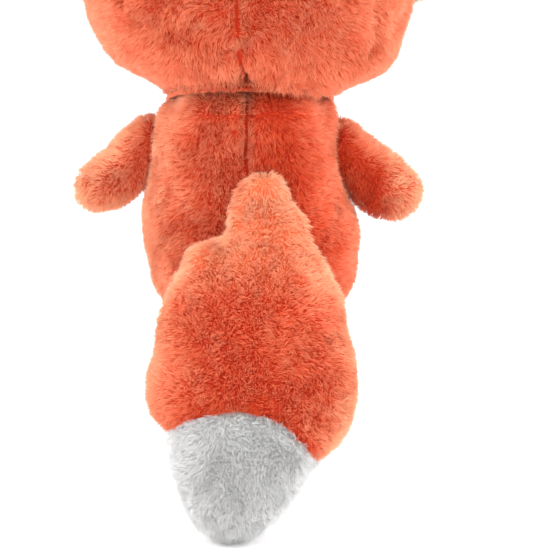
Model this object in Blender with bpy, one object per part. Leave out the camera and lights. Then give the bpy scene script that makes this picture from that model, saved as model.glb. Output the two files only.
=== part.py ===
"""Plush fox, standing, seen from behind in its usual view: rounded head, pear-shaped body, stubby arms,
short legs and a very large drop-shaped tail with a pale tip that reaches the ground.

Units are metres in the scene; the driving tables below are in millimetres and are scaled by MM.
+Z is up, the face looks along -Y and the tail is on the +Y side. The soles rest on z = 0.
Every padded part is a skin of sewn fabric panels around its own stuffing. Limbs, head, ears and tail
are separate padded parts whose rounded roots sit in hollows of the part that carries them.
"""
import math

import bmesh
import bpy
import numpy as np

MM = 0.001

# ------------------------------------------------------------------ driving dimensions (mm)
SKIN = 3.4            # pile fabric, backing plus dense lower pile
SEAM = 0.5            # gap left between two panels sewn edge to edge
FILL_GAP = 1.6        # between a skin and its stuffing
ROOT_GAP = 0.9        # between a rounded root and the hollow it turns in
SEAM_X = 1.0          # the centre back seam stands this far to the left of the middle
MIDDLE = (0.0, 8.154, 0.0)          # middle of the footprint in the tables' own coordinates; it becomes the origin

NECK_CENTRE = (0.0, 5.3, 129.9)   # the head turns and nods about this point
NECK_R = 45.0                     # the shoulders end upwards in a ball of this radius
NECK_HOLLOW_R = 47.4              # hollow under the head
NECK_LEAN = 10.0                  # the neck seam is this many degrees higher at the back

TAIL_ROOT, TAIL_ROOT_R = (-6.0, 40.0, 124.0), 11.0
HIP, HIP_R = (16.8, -6.0, 52.5), 13.4
SHOULDER_L, SHOULDER_R, SHOULDER_BALL = (42.0, -3.0, 137.0), (-39.4, -3.0, 134.9), 12.3

EYE_R, EYE_DOME = 6.0, 4.2
SHANK_R, SHANK_HOLE = 1.5, 2.1

# Stations: height, left side, right side, front, back.
TORSO = (
    (61.0, 1, 1, 0, 0), (64, 22, -24, -17, 17), (68, 31, -34, -24, 25), (74, 37, -40, -30, 31.5),
    (81, 41, -43.7, -33.5, 35.5), (89, 42.8, -45.2, -35.5, 37.5), (98.5, 44.4, -45.7, -36.5, 38.5),
    (109, 45, -43.6, -36.5, 38.5), (115.3, 44.5, -41.1, -36, 38.2), (128, 42.3, -37.7, -34.5, 37.6),
    (140, 40.9, -36, -33, 38.2), (150.6, 37.8, -34.2, -32.5, 39.8), (158, 36.5, -35, -32.5, 41),
    (164, 33, -33, -30, 39), (170, 28, -28, -22, 32), (174.9, 1, 1, 5.3, 5.3),
)
HEAD = (
    (154, 0, 0, -16, -16), (157, 27, -29, -42, 12), (160, 34, -37, -48, 22), (164, 43, -49, -54, 32),
    (168, 50, -56, -57.5, 38), (174, 57, -60.5, -60, 43.5), (182, 62, -62.8, -62, 47.5),
    (190, 65.5, -65, -63, 50), (200, 67.5, -67.5, -63, 51.5), (212, 69, -69, -61, 51.5),
    (226, 67, -67, -57, 49), (240, 60.5, -60.5, -50, 44), (254, 48, -48, -40, 35),
    (264, 33, -33, -29, 24), (271, 0, 0, -3, -3),
)
TAIL = (
    (-0.8, 6.5, 6.5, 91, 91), (2, 15.5, -3.5, 83.5, 97), (6, 20.5, -8.6, 78, 100), (12, 24.6, -15.5, 72, 103),
    (19, 27.5, -20.9, 66.5, 105), (25.5, 29.6, -25.3, 62, 106), (31, 30.6, -30.2, 58.5, 106),
    (37.7, 32, -36.3, 55, 105.5), (44, 35.5, -39.8, 52, 104.5), (51, 39.4, -41.8, 49.5, 102.5),
    (58, 39.9, -42.6, 47.5, 100), (68, 38.2, -42, 45, 95.5), (78, 36.4, -40, 43.2, 90),
    (88, 33, -38, 42.4, 84), (94, 30, -35.6, 42.2, 80), (100, 26.4, -32.5, 42.2, 75), (105, 23.6, -30, 42.2, 70.5),
    (109, 17.2, -27.3, 42.1, 66), (112, 12.4, -25.8, 41.6, 62.5), (117, 9, -23.4, 35.5, 57.5),
    (121, 6.6, -20, 30.6, 53), (124, 5, -17, 29, 51), (135, -6, -6, 40, 40),
)
LEG = (
    (3.4, 30.4, 3.2, -43, 8.5), (8, 31, 2.6, -46.5, 9.5), (14, 31, 2.6, -46.5, 9.8), (20, 30.6, 3, -42, 9.4),
    (25, 30.2, 3.4, -33, 8.8), (30, 30.1, 3.5, -24, 8.2), (36, 30.2, 3.4, -20, 7.6), (44, 30.2, 3.4, -19.5, 7.4),
    (52.5, 30.2, 3.4, -19.4, 7.4), (65.9, 16.8, 16.8, -6, -6),
)
# Along the arm from the shoulder: distance, upper side, under side, depth each way.
ARM_L = (
    (-12.3, 0, 0, 0, 0), (0, 12.3, -12.3, -12.3, 12.3), (10, 12.1, -12, -11.6, 11.6), (20, 12.3, -12, -11.2, 11.2),
    (27, 11.3, -11.6, -10, 10), (32.5, 8, -9, -7, 7), (36.4, 0, 0, 0, 0),
)
ARM_R = (
    (-12.3, 0, 0, 0, 0), (0, 12.3, -12.3, -12.3, 12.3), (6, 12.7, -12.4, -12, 12), (12, 13.6, -12.9, -11.8, 11.8),
    (20, 14.4, -13.6, -11.6, 11.6), (28, 13, -13, -10, 10), (33, 9.5, -10, -7, 7), (36.5, 0, 0, 0, 0),
)
ARM_L_ALONG, ARM_R_ALONG = (0.722, 0.0, -0.692), (-0.682, 0.0, -0.731)
# Along the muzzle, out of the face.
MUZZLE = (
    (0, 25, -25, -19, 19), (9, 24, -24, -18.3, 18.3), (17, 20, -20, -16, 16), (24, 15, -15, -13, 13),
    (29, 10, -10, -9.5, 9.5), (32, 0, 0, 0.8, 0.8),
)
MUZZLE_BASE = (0.0, -54.0, 188.0)
TUFT = ((0, 19, -17, -5.5, 5.5), (8, 16, -14.5, -5.2, 5.2), (14, 11, -10.5, -4.3, 4.3), (19, 5.5, -6, -2.8, 2.8), (22, 0, 0, 0, 0))
EAR_HALF, EAR_TALL, EAR_LEAN, EAR_THICK, EAR_ROOT_R = 18.5, 45.0, -15.0, 3.7, 3.9
EAR_GROOVE_R = 4.8

# ------------------------------------------------------------------ start from an empty scene
for old in list(bpy.data.objects):
    bpy.data.objects.remove(old, do_unlink=True)
COLLECTION = bpy.context.scene.collection


# ------------------------------------------------------------------ smooth tables
def smooth_columns(t, values):
    """Slopes of a monotone cubic through each column of a table."""
    t, y = np.asarray(t, float), np.asarray(values, float)
    h = np.diff(t)[:, None]
    d = np.diff(y, axis=0) / h
    m = np.zeros_like(y)
    same = d[:-1] * d[1:] > 0
    w1, w2 = 2 * h[1:] + h[:-1], h[1:] + 2 * h[:-1]
    with np.errstate(divide="ignore", invalid="ignore"):
        inner = (w1 + w2) / (w1 / d[:-1] + w2 / d[1:])
    m[1:-1] = np.where(same, inner, 0.0)
    m[0], m[-1] = 1.5 * d[0] - 0.5 * m[1], 1.5 * d[-1] - 0.5 * m[-2]
    return t, y, m


def read_columns(table, x):
    t, y, m = table
    x = np.clip(x, t[0], t[-1])
    k = np.clip(np.searchsorted(t, x) - 1, 0, len(t) - 2)
    h = (t[k + 1] - t[k])[..., None]
    u = ((x - t[k])[..., None]) / h
    return ((2 * u**3 - 3 * u**2 + 1) * y[k] + (u**3 - 2 * u**2 + u) * h * m[k]
            + (-2 * u**3 + 3 * u**2) * y[k + 1] + (u**3 - u**2) * h * m[k + 1])


class Loft:
    """A rounded form through stations along its own axis. t runs 0..1 from the first station to the last; phi is the
    angle around, from the left side (0) by the back (90). A closed end is a pole, an open base is cut square."""

    def __init__(self, rows, open_base=False, origin=(0, 0, 0), along=(0, 0, 1), side=(1, 0, 0), seam=None,
                 ball=None, cap=None, floor=None, mirror=False):
        rows = np.array(rows, float)
        self.open_base, self.seam = open_base, seam
        self.s0, self.s1 = rows[0, 0], rows[-1, 0]
        self.table = smooth_columns([self.t_of(s) for s in rows[:, 0]], rows[:, 1:])
        ez, ex = np.array(along, float), np.array(side, float)
        ez = ez / np.linalg.norm(ez)
        ex = ex - ez * (ex @ ez)
        ex = ex / np.linalg.norm(ex)
        self.axes = np.array([ex, np.cross(ez, ex), ez])
        self.origin = np.array(origin, float)
        self.ball, self.cap, self.floor, self.mirror = ball, cap, floor, mirror

    def t_of(self, s):
        q = min(max((s - self.s0) / (self.s1 - self.s0), 0.0), 1.0)
        return math.asin(q) * 2 / math.pi if self.open_base else math.acos(1 - 2 * q) / math.pi

    def s_of(self, t):
        q = np.sin(t * math.pi / 2) if self.open_base else (1 - np.cos(t * math.pi)) / 2
        return self.s0 + (self.s1 - self.s0) * q

    def point(self, phi, t):
        phi, t = np.broadcast_arrays(np.asarray(phi, float), np.asarray(t, float))
        s, e = self.s_of(t), read_columns(self.table, t)
        left, right, front, back = e[..., 0], e[..., 1], e[..., 2], e[..., 3]
        cx = (left + right) / 2 if self.seam is None else np.full_like(left, self.seam)
        cx = np.clip(cx, np.minimum(left, right), np.maximum(left, right))
        cy = (front + back) / 2
        c, d = np.cos(phi), np.sin(phi)
        x = cx + np.where(c > 0, left - cx, cx - right) * c
        y = cy + np.where(d > 0, back - cy, cy - front) * d
        p = self.origin + np.stack([x, y, s], -1) @ self.axes
        if self.ball is not None:            # the root is a true ball
            centre, radius = np.array(self.ball[0], float), self.ball[1]
            if self.ball[2] == "above":
                inside = s > centre[2]
            else:
                inside = s < 0
            way = p - centre
            way = way / np.maximum(np.linalg.norm(way, axis=-1, keepdims=True), 1e-9)
            p = np.where(inside[..., None], centre + radius * way, p)
        if self.cap is not None:             # trimmed to a ball above a height
            centre, radius, from_z = np.array(self.cap[0], float), self.cap[1], self.cap[2]
            way = p - centre
            far = np.linalg.norm(way, axis=-1, keepdims=True)
            p = np.where((far > radius) & (p[..., 2:3] > from_z), centre + way * (radius / np.maximum(far, 1e-9)), p)
        if self.floor is not None:
            p = np.concatenate([p[..., :2], np.maximum(p[..., 2:3], self.floor)], -1)
        if self.mirror:
            p = p * np.array([-1.0, 1.0, 1.0])
        return p

    def normal(self, phi, t):
        e, f = 1e-3, 1e-3
        t = np.asarray(t, float)
        lo, hi = np.clip(t - f, 1e-4, 1), np.clip(t + f, 0, 1 - (0 if self.open_base else 1e-4))
        a = self.point(phi + e, np.clip(t, 1e-3, 1 - 1e-3)) - self.point(phi - e, np.clip(t, 1e-3, 1 - 1e-3))
        b = self.point(phi, hi) - self.point(phi, lo)
        n = np.cross(a, b)
        n = n / np.maximum(np.linalg.norm(n, axis=-1, keepdims=True), 1e-12)
        return -n if self.mirror else n


class Ball:
    """A ball's surface, with phi around the given axis and t the latitude in radians."""

    def __init__(self, centre, radius, axis):
        ez = np.array(axis, float) / np.linalg.norm(axis)
        ex = np.array([1.0, 0, 0]) - ez * ez[0]
        ex = ex / np.linalg.norm(ex)
        self.c, self.r, self.axes = np.array(centre, float), radius, np.array([ex, np.cross(ez, ex), ez])

    def normal(self, phi, t):
        phi, t = np.broadcast_arrays(np.asarray(phi, float), np.asarray(t, float))
        return np.stack([np.cos(t) * np.cos(phi), np.cos(t) * np.sin(phi), np.sin(t)], -1) @ self.axes

    def point(self, phi, t):
        return self.c + self.r * self.normal(phi, t)


# ------------------------------------------------------------------ meshes
def finish_mesh(name, verts, faces, pivot, angle=40):
    """verts in mm in the row's frame, stored about the pivot."""
    me = bpy.data.meshes.new(name)
    at = np.array(pivot, float)
    me.from_pydata([tuple((np.array(v, float) - at) * MM) for v in verts], [], faces)
    bm = bmesh.new()
    bm.from_mesh(me)
    bmesh.ops.recalc_face_normals(bm, faces=bm.faces)
    bm.to_mesh(me)
    bm.free()
    me.shade_smooth()
    me.set_sharp_from_angle(angle=math.radians(angle))
    return me


PIVOTS = {}


def pivot(name, at, parent=None):
    """An empty on a joint's axis; the pieces of the moving part hang on it."""
    e = bpy.data.objects.new(name, None)
    e.empty_display_size = 0.02
    COLLECTION.objects.link(e)
    base = PIVOTS[parent][1] if parent else (0.0, 0.0, 0.0)
    if parent:
        e.parent = PIVOTS[parent][0]
    e.location = [(a - b - (0.0 if parent else c)) * MM for a, b, c in zip(at, base, MIDDLE)]
    PIVOTS[name] = (e, at)
    return e


def add(name, body, data, mat):
    ob = bpy.data.objects.new(name, data)
    ob.parent = PIVOTS[body][0]
    COLLECTION.objects.link(ob)
    data.materials.append(mat)
    return ob


def material(name, colour, rough, metal=0.0):
    m = bpy.data.materials.new(name)
    m.use_nodes = True
    p = m.node_tree.nodes["Principled BSDF"]
    p.inputs["Base Color"].default_value = (*colour, 1.0)
    p.inputs["Roughness"].default_value = rough
    p.inputs["Metallic"].default_value = metal
    m.diffuse_color = (*colour, 1.0)
    return m


ORANGE, CREAM, WHITE = (0.66, 0.115, 0.06), (0.82, 0.74, 0.66), (0.80, 0.79, 0.78)
BLACK, FILL, THREAD, CLEAR = (0.012, 0.012, 0.013), (0.86, 0.86, 0.84), (0.30, 0.05, 0.03), (0.75, 0.75, 0.72)


def fabric(name, colour=ORANGE):
    return material(name + "_fabric", colour, 0.95)


def panel(name, body, surf, edges, nu, nv, mat, thick=SKIN, seams=(1, 1, 1, 1), wrap=False):
    """A sewn panel: a patch of the surface with the fabric's thickness, open along its seams by SEAM.
    edges(u, v) gives phi and t. seams flags the u=0, u=1, v=0 and v=1 sides that meet a neighbour."""
    u, v = np.meshgrid(np.linspace(0, 1, nu + 1), np.linspace(0, 1, nv + 1))
    fu, fv = np.meshgrid(np.linspace(0, 1, nu + 1), np.linspace(0, 1, nv + 1))
    p = surf.point(*edges(fu, fv))
    along_u = np.linalg.norm(np.diff(p, axis=1), axis=-1).sum(1)[:, None]
    along_v = np.linalg.norm(np.diff(p, axis=0), axis=-1).sum(0)[None, :]
    eu, ev = 0.5 * SEAM / np.maximum(along_u, SEAM), 0.5 * SEAM / np.maximum(along_v, SEAM)
    u = eu * seams[0] + u * (1 - eu * (seams[0] + seams[1]))
    v = ev * seams[2] + v * (1 - ev * (seams[2] + seams[3]))
    phi, t = edges(u, v)
    outer, n = surf.point(phi, t), surf.normal(phi, t)
    inner = outer - thick * n
    cols = nu if wrap else nu + 1
    verts = [outer[j, i] for j in range(nv + 1) for i in range(cols)]
    verts += [inner[j, i] for j in range(nv + 1) for i in range(cols)]
    half = cols * (nv + 1)

    def at(i, j, k):
        return k * half + j * cols + (i % cols if wrap else i)

    faces = []
    for j in range(nv):
        for i in range(nu):
            faces.append((at(i, j, 0), at(i + 1, j, 0), at(i + 1, j + 1, 0), at(i, j + 1, 0)))
            faces.append((at(i, j, 1), at(i, j + 1, 1), at(i + 1, j + 1, 1), at(i + 1, j, 1)))
    for i in range(nu):
        faces.append((at(i, 0, 1), at(i + 1, 0, 1), at(i + 1, 0, 0), at(i, 0, 0)))
        faces.append((at(i, nv, 0), at(i + 1, nv, 0), at(i + 1, nv, 1), at(i, nv, 1)))
    if not wrap:
        for j in range(nv):
            faces.append((at(0, j, 0), at(0, j + 1, 0), at(0, j + 1, 1), at(0, j, 1)))
            faces.append((at(nu, j, 1), at(nu, j + 1, 1), at(nu, j + 1, 0), at(nu, j, 0)))
    return add(name, body, finish_mesh(name, verts, faces, PIVOTS[body][1]), mat)


def closed_mesh(surf, n, m, inset, t0=0.0, t1=1.0, level=False):
    """The surface as a closed solid, moved inwards by inset. t0 and t1 cut it square. With level set, each ring shrinks
    in its own plane, which suits a form with a waist."""
    ts = np.linspace(t0, t1, m + 1)
    pole0, pole1 = (t0 == 0.0 and not getattr(surf, "open_base", False)), t1 == 1.0
    phis = np.linspace(0, 2 * math.pi, n, endpoint=False)
    verts, faces, rings = [], [], []
    for k, t in enumerate(ts):
        if (k == 0 and pole0) or (k == m and pole1):
            p = surf.point(0.0, t)
            way = surf.normal(phis, np.full(n, 0.03 if k == 0 else 0.97)).mean(0)
            way = way / np.linalg.norm(way)
            verts.append(p - inset * way)
            rings.append([len(verts) - 1])
        else:
            tt = np.full(n, t)
            p, nn = surf.point(phis, tt), surf.normal(phis, tt)
            if level:
                way = p - p.mean(0)
                far = np.linalg.norm(way, axis=-1, keepdims=True)
                less = inset / np.maximum(np.linalg.norm(nn[:, :2], axis=-1, keepdims=True), 0.4)
                p = p.mean(0) + way * (np.maximum(far - less, 1.0) / far)
            else:
                p = p - inset * nn
            rings.append(list(range(len(verts), len(verts) + n)))
            verts += list(p)
    for a, b in zip(rings, rings[1:]):
        for i in range(n):
            k = (i + 1) % n
            if len(a) == 1:
                faces.append((a[0], b[k], b[i]))
            elif len(b) == 1:
                faces.append((a[i], a[k], b[0]))
            else:
                faces.append((a[i], a[k], b[k], b[i]))
    if len(rings[0]) > 1:
        faces.append(tuple(reversed(rings[0])))
    if len(rings[-1]) > 1:
        faces.append(tuple(rings[-1]))
    return verts, faces


def stuffing(name, body, surf, n, m, inset=SKIN + FILL_GAP, t0=0.0, t1=1.0, level=False):
    verts, faces = closed_mesh(surf, n, m, inset, t0, t1, level)
    return add(name, body, finish_mesh(name, verts, faces, PIVOTS[body][1]), material(name + "_fibre", FILL, 1.0))


# ------------------------------------------------------------------ cutters
def cutter(name, verts, faces):
    me = finish_mesh(name, verts, faces, (0, 0, 0))
    ob = bpy.data.objects.new(name, me)
    ob.hide_render, ob.display_type = True, "WIRE"
    ob.parent = PIVOTS["torso"][0]
    COLLECTION.objects.link(ob)
    return ob


def ball_cutter(name, centre, radius, n=24, m=14):
    b = Ball(centre, radius, (0, 0, 1))
    verts, faces, rings = [], [], []
    for k in range(m + 1):
        lat = -math.pi / 2 + math.pi * k / m
        if k in (0, m):
            verts.append(b.point(0.0, lat))
            rings.append([len(verts) - 1])
        else:
            rings.append(list(range(len(verts), len(verts) + n)))
            verts += list(b.point(np.linspace(0, 2 * math.pi, n, endpoint=False), np.full(n, lat)))
    for a, c in zip(rings, rings[1:]):
        for i in range(n):
            k = (i + 1) % n
            if len(a) == 1:
                faces.append((a[0], c[k], c[i]))
            elif len(c) == 1:
                faces.append((a[i], a[k], c[0]))
            else:
                faces.append((a[i], a[k], c[k], c[i]))
    return cutter(name, verts, faces)


def frame_of(along, side=(1, 0, 0)):
    ez = np.array(along, float) / np.linalg.norm(along)
    ex = np.array(side, float) - ez * (np.array(side, float) @ ez)
    ex = ex / np.linalg.norm(ex)
    return np.array([ex, np.cross(ez, ex), ez])


def turned(profile, n, origin, along, side=(1, 0, 0), wide=1.0, ring=False):
    """Turns a profile of (radius, height) about an axis. wide stretches it sideways. A ring's profile closes on itself."""
    axes, origin = frame_of(along, side), np.array(origin, float)
    verts, faces, rows = [], [], []
    for r, h in profile:
        if r == 0:
            verts.append(origin + h * axes[2])
            rows.append([len(verts) - 1])
        else:
            rows.append(list(range(len(verts), len(verts) + n)))
            for k in range(n):
                a = 2 * math.pi * k / n
                verts.append(origin + np.array([wide * r * math.cos(a), r * math.sin(a), h]) @ axes)
    pairs = list(zip(rows, rows[1:])) + ([(rows[-1], rows[0])] if ring else [])
    for a, b in pairs:
        for i in range(n):
            k = (i + 1) % n
            if len(a) == 1:
                faces.append((a[0], b[k], b[i]))
            elif len(b) == 1:
                faces.append((a[i], a[k], b[0]))
            else:
                faces.append((a[i], a[k], b[k], b[i]))
    return verts, faces


def cut(ob, *tools):
    for tool in tools:
        mod = ob.modifiers.new("cut_" + tool.name, "BOOLEAN")
        mod.operation, mod.solver, mod.object = "DIFFERENCE", "EXACT", tool


def thread(name, body, points, radius, mat, cyclic=False):
    """A sewing thread through the points, a round tube with closed ends."""
    cu = bpy.data.curves.new(name, "CURVE")
    cu.dimensions = "3D"
    cu.bevel_depth, cu.bevel_resolution, cu.use_fill_caps = radius * MM, 1, True
    sp = cu.splines.new("POLY")
    sp.points.add(len(points) - 1)
    at = np.array(PIVOTS[body][1], float)
    for k, p in enumerate(points):
        sp.points[k].co = (*((np.array(p, float) - at) * MM), 1.0)
    sp.use_cyclic_u = cyclic
    return add(name, body, cu, mat)


# ------------------------------------------------------------------ the forms
LEAN = (0.0, -math.sin(math.radians(NECK_LEAN)), math.cos(math.radians(NECK_LEAN)))
torso = Loft(TORSO, seam=SEAM_X, cap=(NECK_CENTRE, NECK_R, 150.0))
head = Loft(HEAD)
tail = Loft(TAIL, ball=(TAIL_ROOT, TAIL_ROOT_R, "above"), floor=0.0)
legs = {"left": Loft(LEG, open_base=True, ball=(HIP, HIP_R, "above")),
        "right": Loft(LEG, open_base=True, ball=(HIP, HIP_R, "above"), mirror=True)}
arms = {"left": Loft(ARM_L, origin=SHOULDER_L, along=ARM_L_ALONG, side=(0.692, 0, 0.722), ball=(SHOULDER_L, SHOULDER_BALL, "below")),
        "right": Loft(ARM_R, origin=SHOULDER_R, along=ARM_R_ALONG, side=(-0.731, 0, 0.682), ball=(SHOULDER_R, SHOULDER_BALL, "below"))}
muzzle = Loft(MUZZLE, open_base=True, origin=MUZZLE_BASE, along=(0, -1, -0.03), side=(1, 0, 0))
RAD = math.radians

# The ears hinge about a line across the top of the head, just proud of its surface.
ear_t = head.t_of(259.0)
ear_up = {"left": head.normal(0.0, ear_t), "right": head.normal(math.pi, ear_t)}
ear_at = {"left": head.point(0.0, ear_t) + 0.8 * ear_up["left"], "right": head.point(math.pi, ear_t) + 0.8 * ear_up["right"]}
ear_line = {k: np.cross([0.0, 1.0, 0.0], ear_up[k]) for k in ear_up}      # points outwards on the left, inwards on the right

# ------------------------------------------------------------------ pivots, one for each moving part
pivot("torso", (0.0, 0.0, 0.0))
pivot("neck", NECK_CENTRE, "torso")
pivot("head", NECK_CENTRE, "neck")
pivot("ear_left", tuple(ear_at["left"]), "head")
pivot("ear_right", tuple(ear_at["right"]), "head")
pivot("arm_left", SHOULDER_L, "torso")
pivot("arm_right", SHOULDER_R, "torso")
pivot("leg_left", HIP, "torso")
pivot("leg_right", (-HIP[0], HIP[1], HIP[2]), "torso")
pivot("tail", TAIL_ROOT, "torso")

# ------------------------------------------------------------------ hollows
hollow_neck = ball_cutter("cutter_neck", NECK_CENTRE, NECK_HOLLOW_R, 28, 18)
hollow_arm_l = ball_cutter("cutter_shoulder_left", SHOULDER_L, SHOULDER_BALL + ROOT_GAP, 16, 10)
hollow_arm_r = ball_cutter("cutter_shoulder_right", SHOULDER_R, SHOULDER_BALL + ROOT_GAP, 16, 10)
hollow_leg_l = ball_cutter("cutter_hip_left", HIP, HIP_R + ROOT_GAP, 16, 10)
hollow_leg_r = ball_cutter("cutter_hip_right", (-HIP[0], HIP[1], HIP[2]), HIP_R + ROOT_GAP, 16, 10)
hollow_tail = ball_cutter("cutter_tail_root", TAIL_ROOT, TAIL_ROOT_R + ROOT_GAP + 0.5, 20, 12)
# The upper arm lies against the side of the body. The hollow flares outwards there, as far as the swinging arm reaches.
relief = {}
for k, at, way in (("left", SHOULDER_L, 1.0), ("right", SHOULDER_R, -1.0)):
    grid = arms[k].point(*np.meshgrid(np.linspace(0, 2 * math.pi, 49), np.linspace(0.3, 1, 60))).reshape(-1, 3) - np.array(at)
    out, reach = grid[:, 0] * way, np.hypot(grid[:, 1], grid[:, 2])
    flare = [(reach[out <= o].max() + ROOT_GAP + 0.5, o - 1.0) for o in (-7.5, -6.0, -4.5, -2.5, 0.0, 2.5, 5.0, 7.5)]
    v, f = turned([(0, flare[0][1])] + flare + [(flare[-1][0], 12.0), (0, 12.0)], 24, at, (way, 0, 0), (0, 1, 0))
    relief[k] = cutter("cutter_arm_relief_" + k, v, f)
groove = {}
for k in ("left", "right"):
    v, f = turned([(0, -20.0), (EAR_GROOVE_R, -20.0), (EAR_GROOVE_R, 20.0), (0, 20.0)], 20, ear_at[k], ear_line[k], (0, 1, 0))
    groove[k] = cutter("cutter_ear_" + k, v, f)
v, f = closed_mesh(muzzle, 20, 6, -0.6)
v = [p + (np.array([0, 1.2, 0]) if k < 20 else 0.0) for k, p in enumerate(v)]      # the hollow is a little deeper
hollow_muzzle = cutter("cutter_muzzle", v, f)

# ------------------------------------------------------------------ body
t_neck = torso.t_of(170.5)


def torso_back_left(u, v):
    return RAD(-28) + u * RAD(118), 0.008 + v * (t_neck - 0.008)


def torso_back_right(u, v):
    return RAD(90) + u * RAD(118), 0.008 + v * (t_neck - 0.008)


def torso_front(u, v):
    return RAD(208) + u * RAD(124), 0.008 + v * (t_neck - 0.008)


back_l = panel("torso_back_left", "torso", torso, torso_back_left, 7, 12, fabric("torso_back_left"))
back_r = panel("torso_back_right", "torso", torso, torso_back_right, 7, 12, fabric("torso_back_right"))
belly = panel("torso_belly", "torso", torso, torso_front, 7, 12, fabric("torso_belly", CREAM))
fill = stuffing("torso_stuffing", "torso", torso, 16, 11)
cut(back_l, hollow_arm_l, relief["left"], hollow_leg_l, hollow_tail)
cut(back_r, hollow_arm_r, relief["right"], hollow_leg_r, hollow_tail)
cut(belly, hollow_arm_l, hollow_arm_r, relief["left"], relief["right"], hollow_leg_l, hollow_leg_r)
cut(fill, hollow_arm_l, hollow_arm_r, relief["left"], relief["right"], hollow_leg_l, hollow_leg_r, hollow_tail)
# The closing stitch zigzags over the lower part of the centre back seam, under the tail.
stitch = []
for k in range(13):
    z = 76.0 + 1.6 * k
    t = torso.t_of(z)
    phi = RAD(90) + (0.065 if k % 2 else -0.065)
    stitch.append(torso.point(phi, t) + 0.95 * torso.normal(phi, t))
thread("closing_thread", "torso", stitch, 0.45, material("closing_thread_cotton", THREAD, 0.8))

# ------------------------------------------------------------------ neck: the gathered seam allowance and its thread
gather = Ball(NECK_CENTRE, 46.3, LEAN)
panel("neck_gather", "neck", gather, lambda u, v: (u * 2 * math.pi, RAD(44) + v * RAD(14)), 28, 2,
      fabric("neck_gather"), thick=0.75, seams=(0, 0, 0, 0), wrap=True)
ring = Ball(NECK_CENTRE, 46.2, LEAN)
thread("neck_thread", "neck", [ring.point(2 * math.pi * k / 28, RAD(41.6)) for k in range(28)], 0.6,
       material("neck_thread_cotton", THREAD, 0.8), cyclic=True)

# ------------------------------------------------------------------ head


def head_seam(t):
    """The centre back seam wanders a little: further left in the upper part of the head."""
    z = head.s_of(t)
    k = np.clip((z - 174.0) / 12.0, 0, 1)
    return RAD(89.3) - RAD(3.0) * k * k * (3 - 2 * k)


def head_back_left(u, v):
    t = 0.008 + v * (0.993 - 0.008)
    return RAD(-8) + u * (head_seam(t) + RAD(8)), t


def head_back_right(u, v):
    t = 0.008 + v * (0.993 - 0.008)
    s = head_seam(t)
    return s + u * (RAD(188) - s), t


def brow(phi):
    """Height of the seam between the forehead and the pale cheeks."""
    z = 204.0 + 11.0 * (np.abs(phi - RAD(270)) / RAD(82)) ** 1.5
    q = (z - head.s0) / (head.s1 - head.s0)
    return np.arccos(1 - 2 * q) / math.pi


def forehead_edges(u, v):
    phi = RAD(188) + u * RAD(164)
    t = brow(phi)
    return phi, t + v * (0.993 - t)


def cheek_right_edges(u, v):
    phi = RAD(188) + u * RAD(82)
    return phi, 0.008 + v * (brow(phi) - 0.008)


def cheek_left_edges(u, v):
    phi = RAD(270) + u * RAD(82)
    return phi, 0.008 + v * (brow(phi) - 0.008)


hb_l = panel("head_back_left", "head", head, head_back_left, 6, 12, fabric("head_back_left"))
hb_r = panel("head_back_right", "head", head, head_back_right, 6, 12, fabric("head_back_right"))
forehead = panel("forehead", "head", head, forehead_edges, 9, 6, fabric("forehead"))
cheek_l = panel("cheek_left", "head", head, cheek_left_edges, 5, 7, fabric("cheek_left", CREAM))
cheek_r = panel("cheek_right", "head", head, cheek_right_edges, 5, 7, fabric("cheek_right", CREAM))
head_fill = stuffing("head_stuffing", "head", head, 16, 11)
snout = panel("muzzle", "head", muzzle, lambda u, v: (u * 2 * math.pi, v * 0.985), 16, 6, fabric("muzzle", WHITE),
              thick=3.0, seams=(0, 0, 0, 0), wrap=True)
snout_fill = stuffing("muzzle_stuffing", "head", muzzle, 12, 5, inset=4.6, t0=0.02)

eye_t = head.t_of(216.0)
pockets = []
for side, phi in (("left", RAD(294)), ("right", RAD(246))):
    at, n = head.point(phi, eye_t), head.normal(phi, eye_t)
    dome = [(0, -9.6), (SHANK_R, -9.6), (SHANK_R, 0.5), (EYE_R - 0.4, 0.5), (EYE_R, 1.0)]
    dome += [(EYE_R * math.cos(RAD(a)), 1.0 + EYE_DOME * math.sin(RAD(a))) for a in (22.5, 45, 67.5)] + [(0, 1.0 + EYE_DOME)]
    v, f = turned(dome, 12, at, n)
    add("eye_" + side, "head", finish_mesh("eye_" + side, v, f, NECK_CENTRE), material("eye_" + side + "_plastic", BLACK, 0.12))
    washer = [(SHANK_R + 0.4, -5.3), (SHANK_R + 0.4, -6.6), (5.6, -6.6), (5.6, -5.3)]
    v, f = turned(washer, 12, at, n, ring=True)
    add("eye_washer_" + side, "head", finish_mesh("eye_washer_" + side, v, f, NECK_CENTRE), material("eye_washer_" + side + "_plastic", CLEAR, 0.4))
    v, f = turned([(0, -12.0), (SHANK_HOLE, -12.0), (SHANK_HOLE, 3.0), (0, 3.0)], 12, at, n)
    hole = cutter("cutter_eye_hole_" + side, v, f)
    v, f = turned([(0, -11.5), (6.9, -11.5), (6.9, 1.0), (0, 1.0)], 12, at, n)
    pockets.append(cutter("cutter_eye_pocket_" + side, v, f))
    cut(forehead, hole)

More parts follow.
